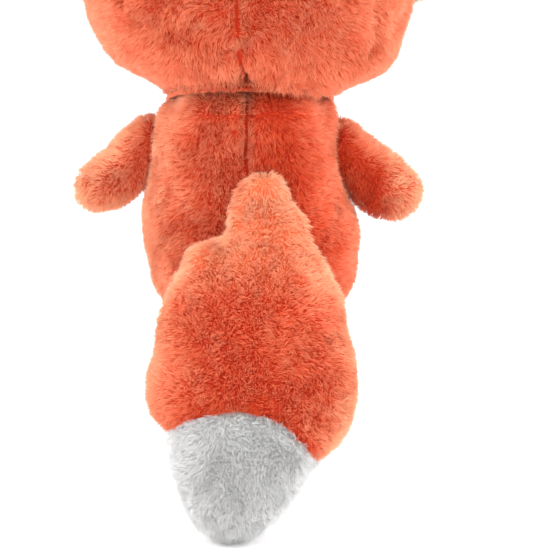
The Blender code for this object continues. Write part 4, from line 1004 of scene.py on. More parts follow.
def make_pile(name, patch, body, colour, seed, length=PILE, density=DENSITY, keep=None, room=None, lean=1.0, fine=1.0, part=None, clump=CLUMP, pull_by=1.0):
    """The fibres of one panel. keep says which roots have a fibre, and room how much of its length it has there."""
    rng = np.random.default_rng(seed)
    area = sample(patch, None, rng)
    count = int(area * density)
    u, v = sample(patch, count, rng)
    root, n = patch.skin(u, v), patch.normal(u, v)
    # Toward a seam that shows, the pile is shorter and parts.
    short, away, thin = np.ones(count), np.zeros((count, 3)), np.ones(count)
    factor = np.ones(count) if patch.where is None else patch.where(root)
    e = 4e-3
    for d, s, (du, dv) in zip(patch.to_seam(u, v), patch.part, ((1, 0), (-1, 0), (0, 1), (0, -1))):
        if s:
            s = s * factor
            side = unit(patch.skin(np.clip(u + du * e, 0, 1), np.clip(v + dv * e, 0, 1)) - patch.skin(np.clip(u - du * e, 0, 1), np.clip(v - dv * e, 0, 1)))
            away += side * (np.exp(-(d / 2.6) ** 2) * s)[:, None]
            short *= 1 - 0.55 * np.clip(s, 0, 1.2) * np.exp(-(d / 1.9) ** 2)
            thin *= 1 - 0.75 * np.clip(s, 0, 1) * np.exp(-(d / 0.7) ** 2)
    kept = rng.random(count) < thin
    if keep is not None:
        kept &= keep(root)
    u, v, root, n, short, away = u[kept], v[kept], root[kept], n[kept], short[kept], away[kept]
    count = len(u)
    # Wisps: each fibre leans towards the middle of its own wisp.
    cu, cv = sample(patch, max(int(area / clump**2), 4), rng)
    centre, cn = patch.skin(cu, cv), patch.normal(cu, cv)
    tree = KDTree(len(centre))
    for k, p in enumerate(centre):
        tree.insert(p, k)
    tree.balance()
    mine = np.array([tree.find(p)[1] for p in root])
    comb = comb_of(root, n, part or body)
    wisp = rng.normal(size=(len(centre), 3))[mine] * 0.28
    own = rng.normal(size=(count, 3))
    size = length * short * (0.76 + 0.36 * rng.random(count)) * (1 + 0.10 * rng.normal(size=len(centre)))[mine] * (1 + 0.06 * waves(root, 8.0, 13))
    size = np.clip(size, 0.35 * length, 1.28 * length)
    flat = np.ones(count)
    if room is not None:
        some = room(root, n)
        size, flat = size * some, 1 + 1.6 * (1 - some)
    lean_map = np.clip(0.44 + 0.22 * waves(root, 20.0, 14), 0.16, 0.9) * lean * flat * lying(root, body)
    d0 = unit(n + 0.35 * comb * lean_map[:, None] + 0.14 * wisp + 0.13 * own + 0.7 * away)
    d1 = unit(n * 0.75 + comb * lean_map[:, None] + 0.5 * wisp + 0.22 * own + 1.3 * away)
    mid = root + d0 * (0.50 * size)[:, None]
    tip = mid + d1 * (0.55 * size)[:, None]
    goal = (centre + unit(cn + 0.4 * comb_of(centre, cn, part or body)) * length * 0.9)[mine]
    pull = pull_by * (0.12 + 0.24 * rng.random(count))[:, None] * np.clip(size / length, 0, 1)[:, None]
    tip = tip + pull * (goal - tip)
    mid = mid + 0.3 * pull * (goal - mid)
    tip[:, 2], mid[:, 2] = np.maximum(tip[:, 2], 0.15), np.maximum(mid[:, 2], 0.3)
    along = unit(tip - root)
    w = np.cross(along, n)
    w = unit(np.where(np.linalg.norm(w, axis=-1, keepdims=True) < 0.05, np.cross(along, own), w))
    w2 = np.cross(along, w)
    half = FIBRE * fine * (0.8 + 0.4 * rng.random(count))
    verts, norms = np.empty((count, 5, 3)), np.empty((count, 5, 3))
    verts[:, 0], norms[:, 0] = root - n * 0.15, n
    spin = rng.random(count) * 2 * math.pi
    for k in range(3):
        a = spin + 2 * math.pi * k / 3
        out = w * np.cos(a)[:, None] + w2 * np.sin(a)[:, None]
        verts[:, 1 + k] = mid + out * half[:, None]
        norms[:, 1 + k] = unit(n * 0.68 + out * 0.72)
    verts[:, 4], norms[:, 4] = tip, unit(n * 0.75 + unit(tip - mid) * 0.45)
    # The tone carries painted light and shade from the fibre's place and facing, and random dye variation for each
    # fibre and wisp.
    tone = dye_and_painted_light(root, n, body) + 0.09 * rng.normal(size=count) + (0.08 * rng.normal(size=len(centre)))[mine] + 0.07 * waves(root, 16.0, 15)
    tone = np.clip(tone, 0.03, 0.97)
    parts = max(math.ceil(count / MOST), 1)
    cells = np.array_split(np.arange(count), parts)
    return [strands(name + ("" if parts == 1 else "_%d" % (k + 1)), verts[c], norms[c], tone[c], colour) for k, c in enumerate(cells)]


SEEDS = iter(range(100, 200))
COUNTS = {}


def make_panel(node, body, patch, colour, nu, nv, cutters=(), fill=0.85, wrap=False, skin_too=True, **pile):
    """The sewn panel with its backing, and the pile that stands on it. It takes the place of the plain solid of that name."""
    us = np.arange(nu) / nu if wrap else np.linspace(0, 1, nu + 1)
    u, v = np.meshgrid(us, np.linspace(0, 1, nv + 1))
    outer, inner = patch.skin(u, v), patch.under(u, v, BACKING)
    if patch.sign < 0:
        outer, inner = outer[:, ::-1], inner[:, ::-1]
    skin = grid_shell(node + "_panel", outer, inner, BACKS[colour], wrap)
    cut_out(skin, cutters)
    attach(skin, body)
    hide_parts(node)
    seed = next(SEEDS)
    for pieces in make_pile(node + "_pile", patch, body, colour, seed, **pile):
        pieces.parent = skin
        COUNTS[pieces.name] = len(pieces.data.vertices) // 5
    return skin


def line_hollows(ob, *balls):
    """In and round the hollow that a limb's root turns in, the filling is covered by the same backing as the skin."""
    ob.data.materials.append(BACKS["orange"])
    co = np.empty(len(ob.data.polygons) * 3)
    ob.data.polygons.foreach_get("center", co)
    co = co.reshape(-1, 3) / MM + MIDDLE
    index = np.zeros(len(co), np.int32)
    for c, r in balls:
        index[np.linalg.norm(co - np.array(c, float), axis=1) < r + 6.0] = 1
    ob.data.polygons.foreach_set("material_index", index)


def finish_piece(ob, body, node):
    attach(ob, body)
    if node:
        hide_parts(node)
    return ob


def edge_points(patches):
    """Points along the seams of these patches, for the cloth to be held by."""
    out, g = [], np.linspace(0, 1, 120)
    for form, edges, seams in patches:
        for s, (a, b) in zip(seams, ((0 * g, g), (0 * g + 1, g), (g, 0 * g), (g, 0 * g + 1))):
            if s:
                out.append(form.plain(*edges(a, b)))
    return np.concatenate(out)


# ------------------------------------------------------------------ forms that give way to the limbs
def arm_hollows():
    limits = {}
    for k, at, way in (("left", SHOULDER_L, 1.0), ("right", SHOULDER_R, -1.0)):
        g = arms[k].plain(*np.meshgrid(np.linspace(0, 2 * math.pi, 97), np.linspace(0.3, 1, 120))).reshape(-1, 3) - np.array(at)
        out, reach = g[:, 0] * way, np.hypot(g[:, 1], g[:, 2])
        steps = np.linspace(0, 44, 45)
        low = np.array([out[reach >= r].min() if (reach >= r).any() else 99.0 for r in steps])
        limits[k] = (np.array(at), way, steps, np.minimum.accumulate(low[::-1])[::-1] - 0.6)
    return limits


ARM_LIMITS = arm_hollows()


def torso_shape(p, lower):
    """The side of the body gives way to the arm: in front, as far as the swinging arm reaches, and at the back only
    where the resting arm presses in."""
    for side, (at, way, steps, low) in ARM_LIMITS.items():
        reach = np.hypot(p[..., 1] - at[1], p[..., 2] - at[2])
        limit = np.where((reach < 40) & (p[..., 0] * way > 0), np.interp(reach, steps, low), 99.0)
        over = (p[..., 0] - at[0]) * way + lower - limit
        swung = np.where(over > -4, 1.2 * np.log1p(np.exp(np.clip(over / 1.2, -30, 30))), 0.0)
        rest = arms[side].depth(p + np.array([way * lower, 0, 0])) + 0.3
        rest = np.where((p[..., 0] * way > 0) & (rest > -4), 1.2 * np.log1p(np.exp(np.clip(rest / 1.2, -30, 30))), 0.0)
        k = smooth(p[..., 1], 0.0, 7.0)
        down = swung * (1 - k) + np.minimum(rest, swung) * k
        p = np.stack([p[..., 0] - way * down, p[..., 1], p[..., 2]], -1)
    return p


def torso_depth(p):
    d = Loft.depth(torso, p)
    for at, way, steps, low in ARM_LIMITS.values():
        reach = np.hypot(p[..., 1] - at[1], p[..., 2] - at[2])
        limit = np.where((reach < 40) & (p[..., 0] * way > 0) & (p[..., 1] < 5), np.interp(reach, steps, low), 99.0)
        d = np.minimum(d, limit - (p[..., 0] - at[0]) * way)
    return d


torso.shape, torso.depth = torso_shape, torso_depth

PLAN = {
    "torso": (torso, [(torso, band(-28, 118, 0.008, t_neck), (1, 1, 0, 0)), (torso, band(208, 124, 0.008, t_neck), (1, 0, 0, 0))], 96, 56, 1.8, 0.045),
    "head": (head, [(head, head_back_left, (1, 1, 0, 0)), (head, head_back_right, (0, 1, 0, 0)), (head, forehead_edges, (0, 0, 1, 0)), (head, cheek_left_edges, (1, 0, 0, 0))], 96, 60, 1.8, 0.045),
    "tail": (tail, [(tail, upper(-90), (1, 0, 1, 0)), (tail, upper(90), (0, 0, 1, 0))], 84, 60, 1.5, 0.04),
}
for _form, _patches, _n, _m, _cap, _slack in PLAN.values():
    _form.relief = settle(inflate(_form, edge_points(_patches), _n, _m, _cap, _slack), 0.55)
for _side in ("left", "right"):
    _seams = edge_points([(arms[_side], band(0, 180, 0.02, 0.975), (1, 1, 0, 0))])
    arms[_side].relief = settle(inflate(arms[_side], _seams, 40, 30, 1.6, 0.05), 0.6)
    _seams = edge_points([(legs[_side], band(-90, 180, 0.0, 0.975), (1, 1, 1, 0))])
    legs[_side].relief = settle(inflate(legs[_side], _seams, 44, 36, 1.6, 0.05), 0.6)

# ------------------------------------------------------------------ cutters, used here and then removed
eye_t = head.t_of(216.0)
EYES = {side: (head.plain(phi, eye_t), head.normal(phi, eye_t)) for side, phi in (("left", RAD(294)), ("right", RAD(246)))}
nose_t = muzzle.t_of(29.6)
NOSE_AT, NOSE_N = max(((muzzle.plain(RAD(a), nose_t), muzzle.normal(RAD(a), nose_t)) for a in (90, 270)), key=lambda q: q[0][2])
DOWN = RAD(-90) if muzzle.plain(RAD(270), 0.5)[2] < MUZZLE_BASE[2] else RAD(90)
TOOLS = {
    "neck": ball_mesh("tool_neck", NECK_CENTRE, NECK_HOLLOW_R),
    "arm_l": ball_mesh("tool_arm_l", SHOULDER_L, SHOULDER_BALL + ROOT_GAP, 32, 18),
    "arm_r": ball_mesh("tool_arm_r", SHOULDER_R, SHOULDER_BALL + ROOT_GAP, 32, 18),
    "hip_l": ball_mesh("tool_hip_l", HIP, HIP_R + ROOT_GAP, 32, 18),
    "hip_r": ball_mesh("tool_hip_r", (-HIP[0], HIP[1], HIP[2]), HIP_R + ROOT_GAP, 32, 18),
    "tail": ball_mesh("tool_tail", TAIL_ROOT, TAIL_ROOT_R + ROOT_GAP + 0.5, 32, 18),
    "muzzle": closed_form("tool_muzzle", muzzle, 64, 24, 1.8, FILLING, back=1.5),
    "tuft": ball_mesh("tool_tuft", (0.0, -6.0, 212.0), 66.0),      # follows the head's sides, 2.6 mm inside them
    "nose_hole": cylinder("tool_nose_hole", 2.1, -11.0, 3.0, NOSE_AT, frame_of(NOSE_N)),
    "nose_pocket": cylinder("tool_nose_pocket", 5.2, -11.5, 4.0, NOSE_AT, frame_of(NOSE_N)),
}
for _side, (_at, _n) in EYES.items():
    TOOLS["eye_hole_" + _side] = cylinder("tool_eye_hole_" + _side, 2.1, -12.0, 3.0, _at, frame_of(_n))
    TOOLS["eye_pocket_" + _side] = cylinder("tool_eye_pocket_" + _side, 6.9, -11.5, 1.0, _at, frame_of(_n))
for _side in ("left", "right"):
    TOOLS["ear_" + _side] = cylinder("tool_ear_" + _side, 4.2, -20.0, 20.0, ear_at[_side], frame_of(ear_line[_side], (0, 1, 0)))


def tools(*names):
    return [TOOLS[n] for n in names]


def clear_of(*balls):
    """Keeps the fibres whose roots lie outside these balls."""
    def keep(p):
        ok = np.ones(len(p), bool)
        for c, r in balls:
            ok &= np.linalg.norm(p - np.array(c, float), axis=-1) > r
        return ok
    return keep


def room_beside(*forms, least=0.22, reach=3.6, gap=1.0):
    """A fibre is shorter, and lies flatter, where it would run into the padding of a neighbour."""
    def room(p, n):
        some = np.ones(len(p))
        for f in forms:
            at = np.maximum(f.depth(p), f.depth(p + reach * n) - 0.35 * reach)
            some = np.minimum(some, 1 - (1 - least) * smooth(at, gap, gap + 3.0))
        return some
    return room


def ears_clear(p):
    ok = np.ones(len(p), bool)
    for side in ("left", "right"):
        rel = p - ear_at[side]
        along = rel @ unit(ear_line[side])
        off = np.linalg.norm(rel - along[:, None] * unit(ear_line[side]), axis=-1)
        ok &= (off > 3.0) | (np.abs(along) > EAR_HALF - 1.5)
    return ok


B_ARM_L, B_ARM_R = (SHOULDER_L, SHOULDER_BALL + ROOT_GAP), (SHOULDER_R, SHOULDER_BALL + ROOT_GAP)
B_HIP_L, B_HIP_R = (HIP, HIP_R + ROOT_GAP), ((-HIP[0], HIP[1], HIP[2]), HIP_R + ROOT_GAP)
B_TAIL, B_NECK = (TAIL_ROOT, TAIL_ROOT_R + ROOT_GAP + 0.5), (NECK_CENTRE, NECK_HOLLOW_R)
off_neck = clear_of(B_NECK)

# ------------------------------------------------------------------ body
stitch = []
for k in range(13):
    t = torso.t_of(76.0 + 1.6 * k)
    phi = RAD(90) + (0.065 if k % 2 else -0.065)
    stitch.append(torso.plain(phi, t) + 0.7 * torso.normal(phi, t))
STITCH = np.array(stitch)


def back_keep(balls):
    """No fibre stands through the closing stitch."""
    off = clear_of(*balls)

    def keep(p):
        near = (np.abs(p[:, 0] - SEAM_X) < 3.6) & (p[:, 2] > 75) & (p[:, 2] < 96.2) & (p[:, 1] > 0)
        return off(p) & ~near
    return keep


def torso_seam_shows(p):
    """The centre back seam shows as a valley from the neck down to the tail's root, and hardly below it."""
    z = p[..., 2]
    back = p[..., 1] > 0
    return np.where(back, 0.18 + 0.82 * smooth(z, 131.0, 140.0), 0.6)


def head_seam_shows(p):
    """The head's back seam is swallowed by the pile in places."""
    z = p[..., 2]
    gap = np.exp(-((z - 187.0) / 2.6) ** 2)
    spot = np.exp(-((z - 182.3) / 2.0) ** 2)
    top = smooth(z, 198.0, 206.0)
    return np.where(p[..., 1] > 0, np.clip(0.95 - 0.8 * gap + 0.5 * spot - 0.5 * top, 0.1, 1.5), 0.8)


limbs_near = room_beside(arms["left"], arms["right"], legs["left"], legs["right"], tail, least=0.35)


def torso_room(p, n):
    """The body's pile stands longer round the neck and covers the drawstring."""
    return limbs_near(p, n) * (1 + 0.30 * smooth(p[:, 2], 158.0, 165.0))


make_panel("torso_back_left", "torso", Patch(torso, band(-28, 118, 0.008, t_neck), (0.7, 3.3, 0, 0), (0.2, 1.0, 0, 0), width=3.4, where=torso_seam_shows), "orange", 60, 80,
           tools("arm_l", "hip_l", "tail"), keep=back_keep((B_ARM_L, B_HIP_L, B_TAIL)), room=torso_room)
make_panel("torso_back_right", "torso", Patch(torso, band(90, 118, 0.008, t_neck), (3.3, 0.7, 0, 0), (1.0, 0.2, 0, 0), width=3.4, where=torso_seam_shows), "orange", 60, 80,
           tools("arm_r", "hip_r", "tail"), keep=back_keep((B_ARM_R, B_HIP_R, B_TAIL)), room=torso_room)
make_panel("torso_belly", "torso", Patch(torso, band(208, 124, 0.008, t_neck), (0.7, 0.7, 0, 0), (0.2, 0.2, 0, 0)), "cream", 60, 80,
           tools("arm_l", "arm_r", "hip_l", "hip_r"), keep=clear_of(B_ARM_L, B_ARM_R, B_HIP_L, B_HIP_R), room=torso_room)
fill = closed_form("torso_filling", torso, 72, 44, 9.4, FILLING)
cut_out(fill, tools("arm_l", "arm_r", "hip_l", "hip_r", "tail"))
line_hollows(fill, B_ARM_L, B_ARM_R, B_HIP_L, B_HIP_R, B_TAIL)
finish_piece(fill, "torso", "torso_stuffing")
finish_piece(plied("closing_stitch", STITCH, 0.42, ORANGE_THREAD, lay=2.0), "torso", "closing_thread")

# ------------------------------------------------------------------ neck
gather = Ball(NECK_CENTRE, 46.35, LEAN)
g_phi, g_lat = np.meshgrid(np.arange(288) / 288 * 2 * math.pi, np.linspace(RAD(41.6), RAD(58), 15))
pleat = 0.30 * np.sin(44 * g_phi + 0.6 * np.sin(5 * g_phi)) * (0.5 + 0.5 * smooth(g_lat, RAD(44), RAD(50)))


def pinched(phi, lat):
    """The gathers are drawn in at the sides by the drawstring, most at their lower edge."""
    return -2.8 * np.cos(phi) ** 4 * (1 - smooth(lat, RAD(41.6), RAD(50)))


pleat = pleat + pinched(g_phi, g_lat)
ruffle = grid_shell("neck_gathering", gather.point(g_phi, g_lat, pleat), gather.point(g_phi, g_lat, pleat - 0.55), BACKS["orange"], wrap=True)
finish_piece(ruffle, "neck", "neck_gather")


class BallPatch:
    """A band round a ball. hang, from 0 to 1, turns its pile from standing up to hanging down."""

    def __init__(self, ball, low, high, hang=0.0):
        self.ball, self.low, self.high, self.part, self.where, self.hang = ball, RAD(low), RAD(high), (0, 0, 0, 0), None, hang

    def to_seam(self, u, v):
        return [u * 0 + 99.0] * 4

    def skin(self, u, v, lower=0.0):
        phi, t = np.asarray(u) * 2 * math.pi, self.low + np.asarray(v) * (self.high - self.low)
        return self.ball.point(phi, t, pinched(phi, t))

    def normal(self, u, v):
        phi, t = np.asarray(u) * 2 * math.pi, self.low + np.asarray(v) * (self.high - self.low)
        return unit((1 - self.hang) * self.ball.normal(phi, t) - self.hang * self.ball.normal(phi, t + math.pi / 2))


GATHER_PILE = make_pile("neck_gathering_pile", BallPatch(gather, 41.9, 52.0), "neck", "orange", next(SEEDS), length=4.0, density=6.0, lean=1.6, part="neck")
GATHER_PILE += make_pile("neck_gathering_fringe", BallPatch(gather, 41.6, 43.4, hang=0.86), "neck", "orange", next(SEEDS), length=2.5, density=15.0, lean=0.3, part="neck")
for piece in GATHER_PILE:
    piece.parent = ruffle
ring = Ball(NECK_CENTRE, 44.9, LEAN)        # the drawstring has sunk into the pile
ring_pts = [ring.point(2 * math.pi * k / 120, RAD(41.9), -2.6 * math.cos(2 * math.pi * k / 120) ** 4) for k in range(120)]
finish_piece(plied("neck_drawstring", ring_pts, 0.42, ORANGE_THREAD, lay=2.6, cyclic=True, sides=6, per_turn=8), "neck", "neck_thread")


# ------------------------------------------------------------------ head
def eyes_clear(p):
    ok = muzzle.depth(p) < 1.0
    for at, n in EYES.values():
        side = (p - at) - ((p - at) @ n)[:, None] * n
        ok &= np.linalg.norm(side, axis=-1) > EYE_R - 1.0
    return ok


tuft_room = room_beside(tufts["left"], tufts["right"], least=0.5, gap=2.0)


def head_room(p, n):
    """Along the neck the head's pile is left long and hides the gathers."""
    off = np.linalg.norm(p - np.array(NECK_CENTRE), axis=-1) - NECK_HOLLOW_R
    return tuft_room(p, n) * (1 + 0.36 * np.exp(-(off / 3.2) ** 2))


back_seam = dict(width=2.8, where=head_seam_shows)
make_panel("head_back_left", "head", Patch(head, head_back_left, (0.6, 1.9, 0, 0), (0.15, 0.75, 0, 0), **back_seam), "orange", 64, 88,
           tools("neck", "ear_left"), keep=lambda p: off_neck(p) & ears_clear(p), room=head_room)
make_panel("head_back_right", "head", Patch(head, head_back_right, (1.9, 0.6, 0, 0), (0.75, 0.15, 0, 0), **back_seam), "orange", 64, 88,
           tools("neck", "ear_right"), keep=lambda p: off_neck(p) & ears_clear(p), room=head_room)
make_panel("forehead", "head", Patch(head, forehead_edges, (0.6, 0.6, 0.7, 0), (0.15, 0.15, 0.2, 0)), "orange", 96, 54,
           tools("ear_left", "ear_right", "muzzle", "eye_hole_left", "eye_hole_right"), keep=lambda p: eyes_clear(p) & ears_clear(p), room=head_room, part="face")
make_panel("cheek_left", "head", Patch(head, cheek_left_edges, (0.4, 0.6, 0, 0.7), (0.1, 0.15, 0, 0.2)), "cream", 54, 60,
           tools("neck", "muzzle"), keep=lambda p: off_neck(p) & eyes_clear(p), room=head_room, part="face")
make_panel("cheek_right", "head", Patch(head, cheek_right_edges, (0.6, 0.4, 0, 0.7), (0.15, 0.1, 0, 0.2)), "cream", 54, 60,
           tools("neck", "muzzle"), keep=lambda p: off_neck(p) & eyes_clear(p), room=head_room, part="face")
fill = closed_form("head_filling", head, 72, 44, 6.8, FILLING)
cut_out(fill, tools("neck", "muzzle", "ear_left", "ear_right", "eye_pocket_left", "eye_pocket_right"))
line_hollows(fill, B_NECK)
finish_piece(fill, "head", "head_stuffing")

smile = []
for k in range(11):
    a = RAD(-58 + 116 * k / 10)
    t = muzzle.t_of(27.2 - 4.2 * (a / RAD(58)) ** 2)
    smile.append(muzzle.plain(DOWN + a, t) + 0.45 * muzzle.normal(DOWN + a, t))
SMILE = np.array(smile)
smile_line = np.concatenate([SMILE[:-1] + (SMILE[1:] - SMILE[:-1]) * f for f in np.linspace(0, 1, 12)])


def muzzle_keep(p):
    near = np.min(np.linalg.norm(p[:, None, :] - smile_line[None], axis=-1), axis=1) < 2.9
    at_nose = np.linalg.norm((p - NOSE_AT) - ((p - NOSE_AT) @ NOSE_N)[:, None] * NOSE_N, axis=-1) < 4.6
    return (head.depth(p) < 3.0) & ~near & ~at_nose


make_panel("muzzle", "head", Patch(muzzle, band(0, 360, 0.0, 0.985), inset=2.2), "cream", 72, 34, tools("nose_hole"), wrap=True,
           length=2.9, density=3.4, keep=muzzle_keep, part="muzzle", fine=0.85, lean=1.2)
fill = closed_form("muzzle_filling", muzzle, 48, 24, 4.8, FILLING, t0=0.02)
cut_out(fill, tools("nose_pocket"))
finish_piece(fill, "head", "muzzle_stuffing")
finish_piece(plied("mouth_stitch", SMILE, 0.62, BLACK_THREAD, lay=2.2, sides=10, per_turn=14), "head", "mouth_thread")

for side, (at, n) in EYES.items():
    lens = [(0, -9.6), (1.1, -9.6), (1.5, -9.2), (1.5, -2.7), (4.9, -2.7), (5.6, -2.1), (5.95, -1.0)]
    lens += [(EYE_R * math.cos(RAD(a)), 1.0 + EYE_DOME * math.sin(RAD(a))) for a in (-12, 0, 10, 20, 30, 40, 50, 60, 69, 77, 84)] + [(0, 1.0 + EYE_DOME)]
    finish_piece(mesh_object("eye_" + side + "_moulding", *turned(lens, 56, at, frame_of(n)), EYE), "head", "eye_" + side)
    for mat_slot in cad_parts["eye_washer_" + side].material_slots:
        mat_slot.material = WASHER
for mat_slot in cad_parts["nose_washer"].material_slots:
    mat_slot.material = WASHER
dome = [(0, -9.8), (1.1, -9.8), (1.5, -9.4), (1.5, -1.6), (4.0, -1.6), (4.7, -0.9), (5.1, 0.4)]
dome += [(5.2 * math.cos(RAD(a)), 1.6 + 3.6 * math.sin(RAD(a))) for a in (-8, 4, 15, 26, 37, 48, 58, 67, 75, 83)] + [(0, 5.2)]
v, f = turned(dome, 56, NOSE_AT, frame_of(NOSE_N))
axes = frame_of(NOSE_N)
rel = (v - NOSE_AT) @ axes.T
broad = np.hypot(rel[:, 0], rel[:, 1]) > 1.8
rel[:, 0] *= np.where(broad, 1.45, 1.0)
rel[:, 0] *= np.where(broad, 1 + 0.018 * rel[:, 1] * (1 if axes[1][2] > 0 else -1), 1.0)
finish_piece(mesh_object("nose_moulding", NOSE_AT + rel @ axes, f, NOSE), "head", "nose")

# ------------------------------------------------------------------ cheek tufts
for side in ("left", "right"):
    pad = closed_form("cheek_tuft_" + side + "_pad", tufts[side], 48, 26, 1.2, BACKS["cream"], t1=0.9)     # a deeper pad would cross itself at its thin end
    cut_out(pad, tools("tuft"))
    finish_piece(pad, "head", "cheek_tuft_" + side)
    low = 204.5 if side == "left" else 196.5
    for piece in make_pile("cheek_tuft_" + side + "_pile", Patch(tufts[side], band(0, 360, 0.0, 0.995), inset=2.0), "head", "cream", next(SEEDS), length=5.0,
                           density=4.6, keep=lambda p: head.depth(p) < 3.0, room=lambda p, n: 0.34 + 0.66 * smooth(p[:, 2], low - 2.5, low + 1.5), part="tuft", lean=1.3, clump=2.2):
        piece.parent = pad

# ------------------------------------------------------------------ tail
tail_room = room_beside(torso, least=0.45, gap=2.4)
for skin in (make_panel("tail_left", "tail", Patch(tail, upper(-90), (0.3, 0.25, 0.9, 0), (0.1, 0, 0.15, 0)), "orange", 64, 80, room=tail_room),
             make_panel("tail_right", "tail", Patch(tail, upper(90), (0.25, 0.3, 0.9, 0), (0, 0.1, 0.15, 0)), "orange", 64, 80, room=tail_room)):
    skin.data.materials[0] = TAIL_BACK
make_panel("tail_tip_left", "tail", Patch(tail, lower(-90), (0.3, 0.25, 0, 1.1), (0.1, 0, 0, 0.1)), "white", 60, 44, keep=lambda p: p[:, 2] > 0.6, room=tail_room)
make_panel("tail_tip_right", "tail", Patch(tail, lower(90), (0.25, 0.3, 0, 1.1), (0, 0.1, 0, 0.1)), "white", 60, 44, keep=lambda p: p[:, 2] > 0.6, room=tail_room)
finish_piece(closed_form("tail_filling", tail, 64, 60, 7.5, FILLING, t0=tail.t_of(6.5), t1=tail.t_of(128.5), level=True), "tail", "tail_stuffing")

# ------------------------------------------------------------------ arms and legs
limb_room = room_beside(torso, least=0.40, gap=2.0)
for side in ("left", "right"):
    surf, body = arms[side], "arm_" + side
    back_first = surf.plain(RAD(90), 0.5)[1] > surf.plain(RAD(270), 0.5)[1]
    b0, f0 = (0, 180) if back_first else (180, 0)
    make_panel(body + "_back", body, Patch(surf, band(b0, 180, 0.02, 0.975), (0.3, 0.3, 0, 0), (0.1, 0.1, 0, 0)), "orange", 40, 44, room=limb_room)
    make_panel(body + "_front", body, Patch(surf, band(f0, 180, 0.02, 0.975), (0.3, 0.3, 0, 0), (0.1, 0.1, 0, 0)), "orange", 40, 44, room=limb_room)
    finish_piece(closed_form(body + "_filling", surf, 40, 30, FILLING_AT + 1.2, FILLING, t0=0.03, t1=0.97), body, body + "_stuffing")
    surf, body = legs[side], "leg_" + side
    make_panel(body + "_outer", body, Patch(surf, band(-90, 180, 0.0, 0.975), (0.4, 0.4, 0.4, 0), (0.1, 0.1, 0.1, 0)), "orange", 40, 52, room=limb_room)
    make_panel(body + "_inner", body, Patch(surf, band(90, 180, 0.0, 0.975), (0.4, 0.4, 0.4, 0), (0.1, 0.1, 0.1, 0)), "orange", 40, 52, room=limb_room)
    finish_piece(closed_form(body + "_filling", surf, 44, 34, FILLING_AT, FILLING, t0=0.03, t1=0.98), body, body + "_stuffing")
    n = 96
    ring = surf.plain(np.linspace(0, 2 * math.pi, n, endpoint=False), np.zeros(n))
    mid = ring.mean(0)
    verts, rows = [mid * [1, 1, 0]], [[0]]
    for z, inset in ((0.0, 12.0), (0.0, 6.0), (0.0, 2.2), (0.12, 1.4), (0.45, 0.85), (1.0, 0.55), (2.0, 0.5), (2.6, 0.6), (2.9, 1.2), (2.95, 6.0)):
        rows.append(list(range(len(verts), len(verts) + n)))
        for p in ring:
            way = (p - mid) * [1, 1, 0]
            far = np.linalg.norm(way)
            q = mid + way * max(far - inset, 0.25 * far) / far
            verts.append(np.array([q[0], q[1], z]))
    rows.append([len(verts)])
    verts.append(np.array([mid[0], mid[1], 2.95]))
    faces = rows_to_faces(rows)
    if surf.mirror:
        faces = [tuple(reversed(f)) for f in faces]
    finish_piece(mesh_object(body + "_sole_felt", np.array(verts), faces, FELT), body, body + "_sole")

# ------------------------------------------------------------------ ears
for side in ("left", "right"):
    for sign, kind, colour in ((1, "back", "orange"), (-1, "front", "cream")):
        make_panel("ear_" + kind + "_" + side, "ear_" + side, EarPatch(side, sign), colour, 34, 48, length=2.7, density=3.4, fine=0.85, lean=1.2, fill=0.4)

for tool in TOOLS.values():
    me = tool.data
    bpy.data.objects.remove(tool, do_unlink=True)
    bpy.data.meshes.remove(me)

# ------------------------------------------------------------------ camera, floor, light
cam = bpy.data.cameras.new("camera")
cam.sensor_width, cam.lens = 36.0, 136.55
cam_ob = bpy.data.objects.new("camera", cam)
cam_ob.location = (-0.0104, 0.845 - MIDDLE[1] * MM, 0.2785)
cam_ob.rotation_euler = (RAD(77), 0, RAD(180))
HERE.objects.link(cam_ob)
SCENE.camera = cam_ob
cam.clip_start, cam.clip_end = 0.02, 20.0

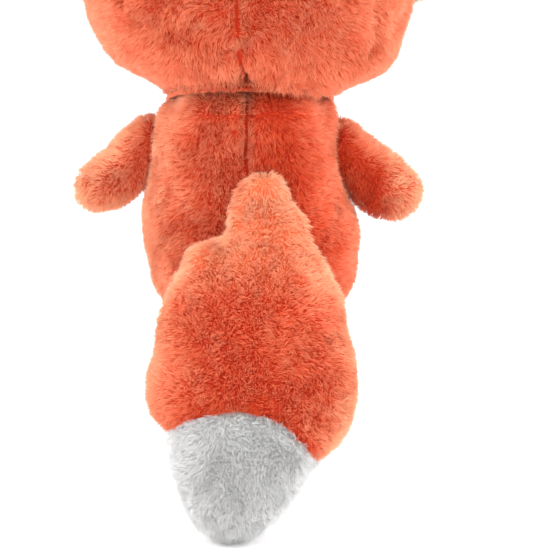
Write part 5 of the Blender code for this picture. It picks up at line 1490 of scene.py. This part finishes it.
floor_me = bpy.data.meshes.new("floor")
floor_me.from_pydata([(-6, -6, 0), (6, -6, 0), (6, 6, 0), (-6, 6, 0)], [], [(0, 1, 2, 3)])
fm, fnt, fp = new_material("floor_white", 0.9)
fp.inputs["Base Color"].default_value = (0.93, 0.93, 0.93, 1)
fp.inputs["Emission Color"].default_value, fp.inputs["Emission Strength"].default_value = (1, 1, 1, 1), 0.22
floor_me.materials.append(fm)
floor = bpy.data.objects.new("floor", floor_me)
HERE.objects.link(floor)

world = bpy.data.worlds.new("studio")
SCENE.world = world
world.use_nodes = True
wnt = world.node_tree
wnt.nodes.clear()
out = wnt.nodes.new("ShaderNodeOutputWorld")
seen, lit, pick = wnt.nodes.new("ShaderNodeBackground"), wnt.nodes.new("ShaderNodeBackground"), wnt.nodes.new("ShaderNodeMixShader")
path = wnt.nodes.new("ShaderNodeLightPath")
seen.inputs["Color"].default_value, seen.inputs["Strength"].default_value = (1, 1, 1, 1), 1.05
co = wnt.nodes.new("ShaderNodeTexCoord")
sep = wnt.nodes.new("ShaderNodeSeparateXYZ")
wnt.links.new(co.outputs["Generated"], sep.inputs["Vector"])
grade = wnt.nodes.new("ShaderNodeMapRange")
grade.inputs["From Min"].default_value, grade.inputs["From Max"].default_value = -1.0, 1.0
grade.inputs["To Min"].default_value, grade.inputs["To Max"].default_value = 2.5, 0.92
wnt.links.new(sep.outputs["Y"], grade.inputs["Value"])
wnt.links.new(grade.outputs["Result"], lit.inputs["Strength"])
wnt.links.new(path.outputs["Is Camera Ray"], pick.inputs["Fac"])
wnt.links.new(lit.outputs[0], pick.inputs[1])
wnt.links.new(seen.outputs[0], pick.inputs[2])
wnt.links.new(pick.outputs[0], out.inputs["Surface"])

SCENE.view_settings.view_transform = "Standard"


def lamp(name, at, to, size, watts):
    data = bpy.data.lights.new(name, "AREA")
    data.shape, data.size, data.energy = "DISK", size, watts
    ob = bpy.data.objects.new(name, data)
    ob.location = at
    ob.rotation_euler = (Vector(to) - Vector(at)).to_track_quat("-Z", "Y").to_euler()
    HERE.objects.link(ob)
    return ob


lamp("top", (0.0, 0.35, 1.3), (0, 0, 0.15), 0.9, 13.0)
lamp("left", (1.1, 0.15, 0.55), (0, 0, 0.15), 0.8, 7.0)
lamp("right", (-1.1, 0.15, 0.55), (0, 0, 0.15), 0.8, 7.0)

print("fibres:", sum(COUNTS.values()), "largest piece:", max(COUNTS.values()))
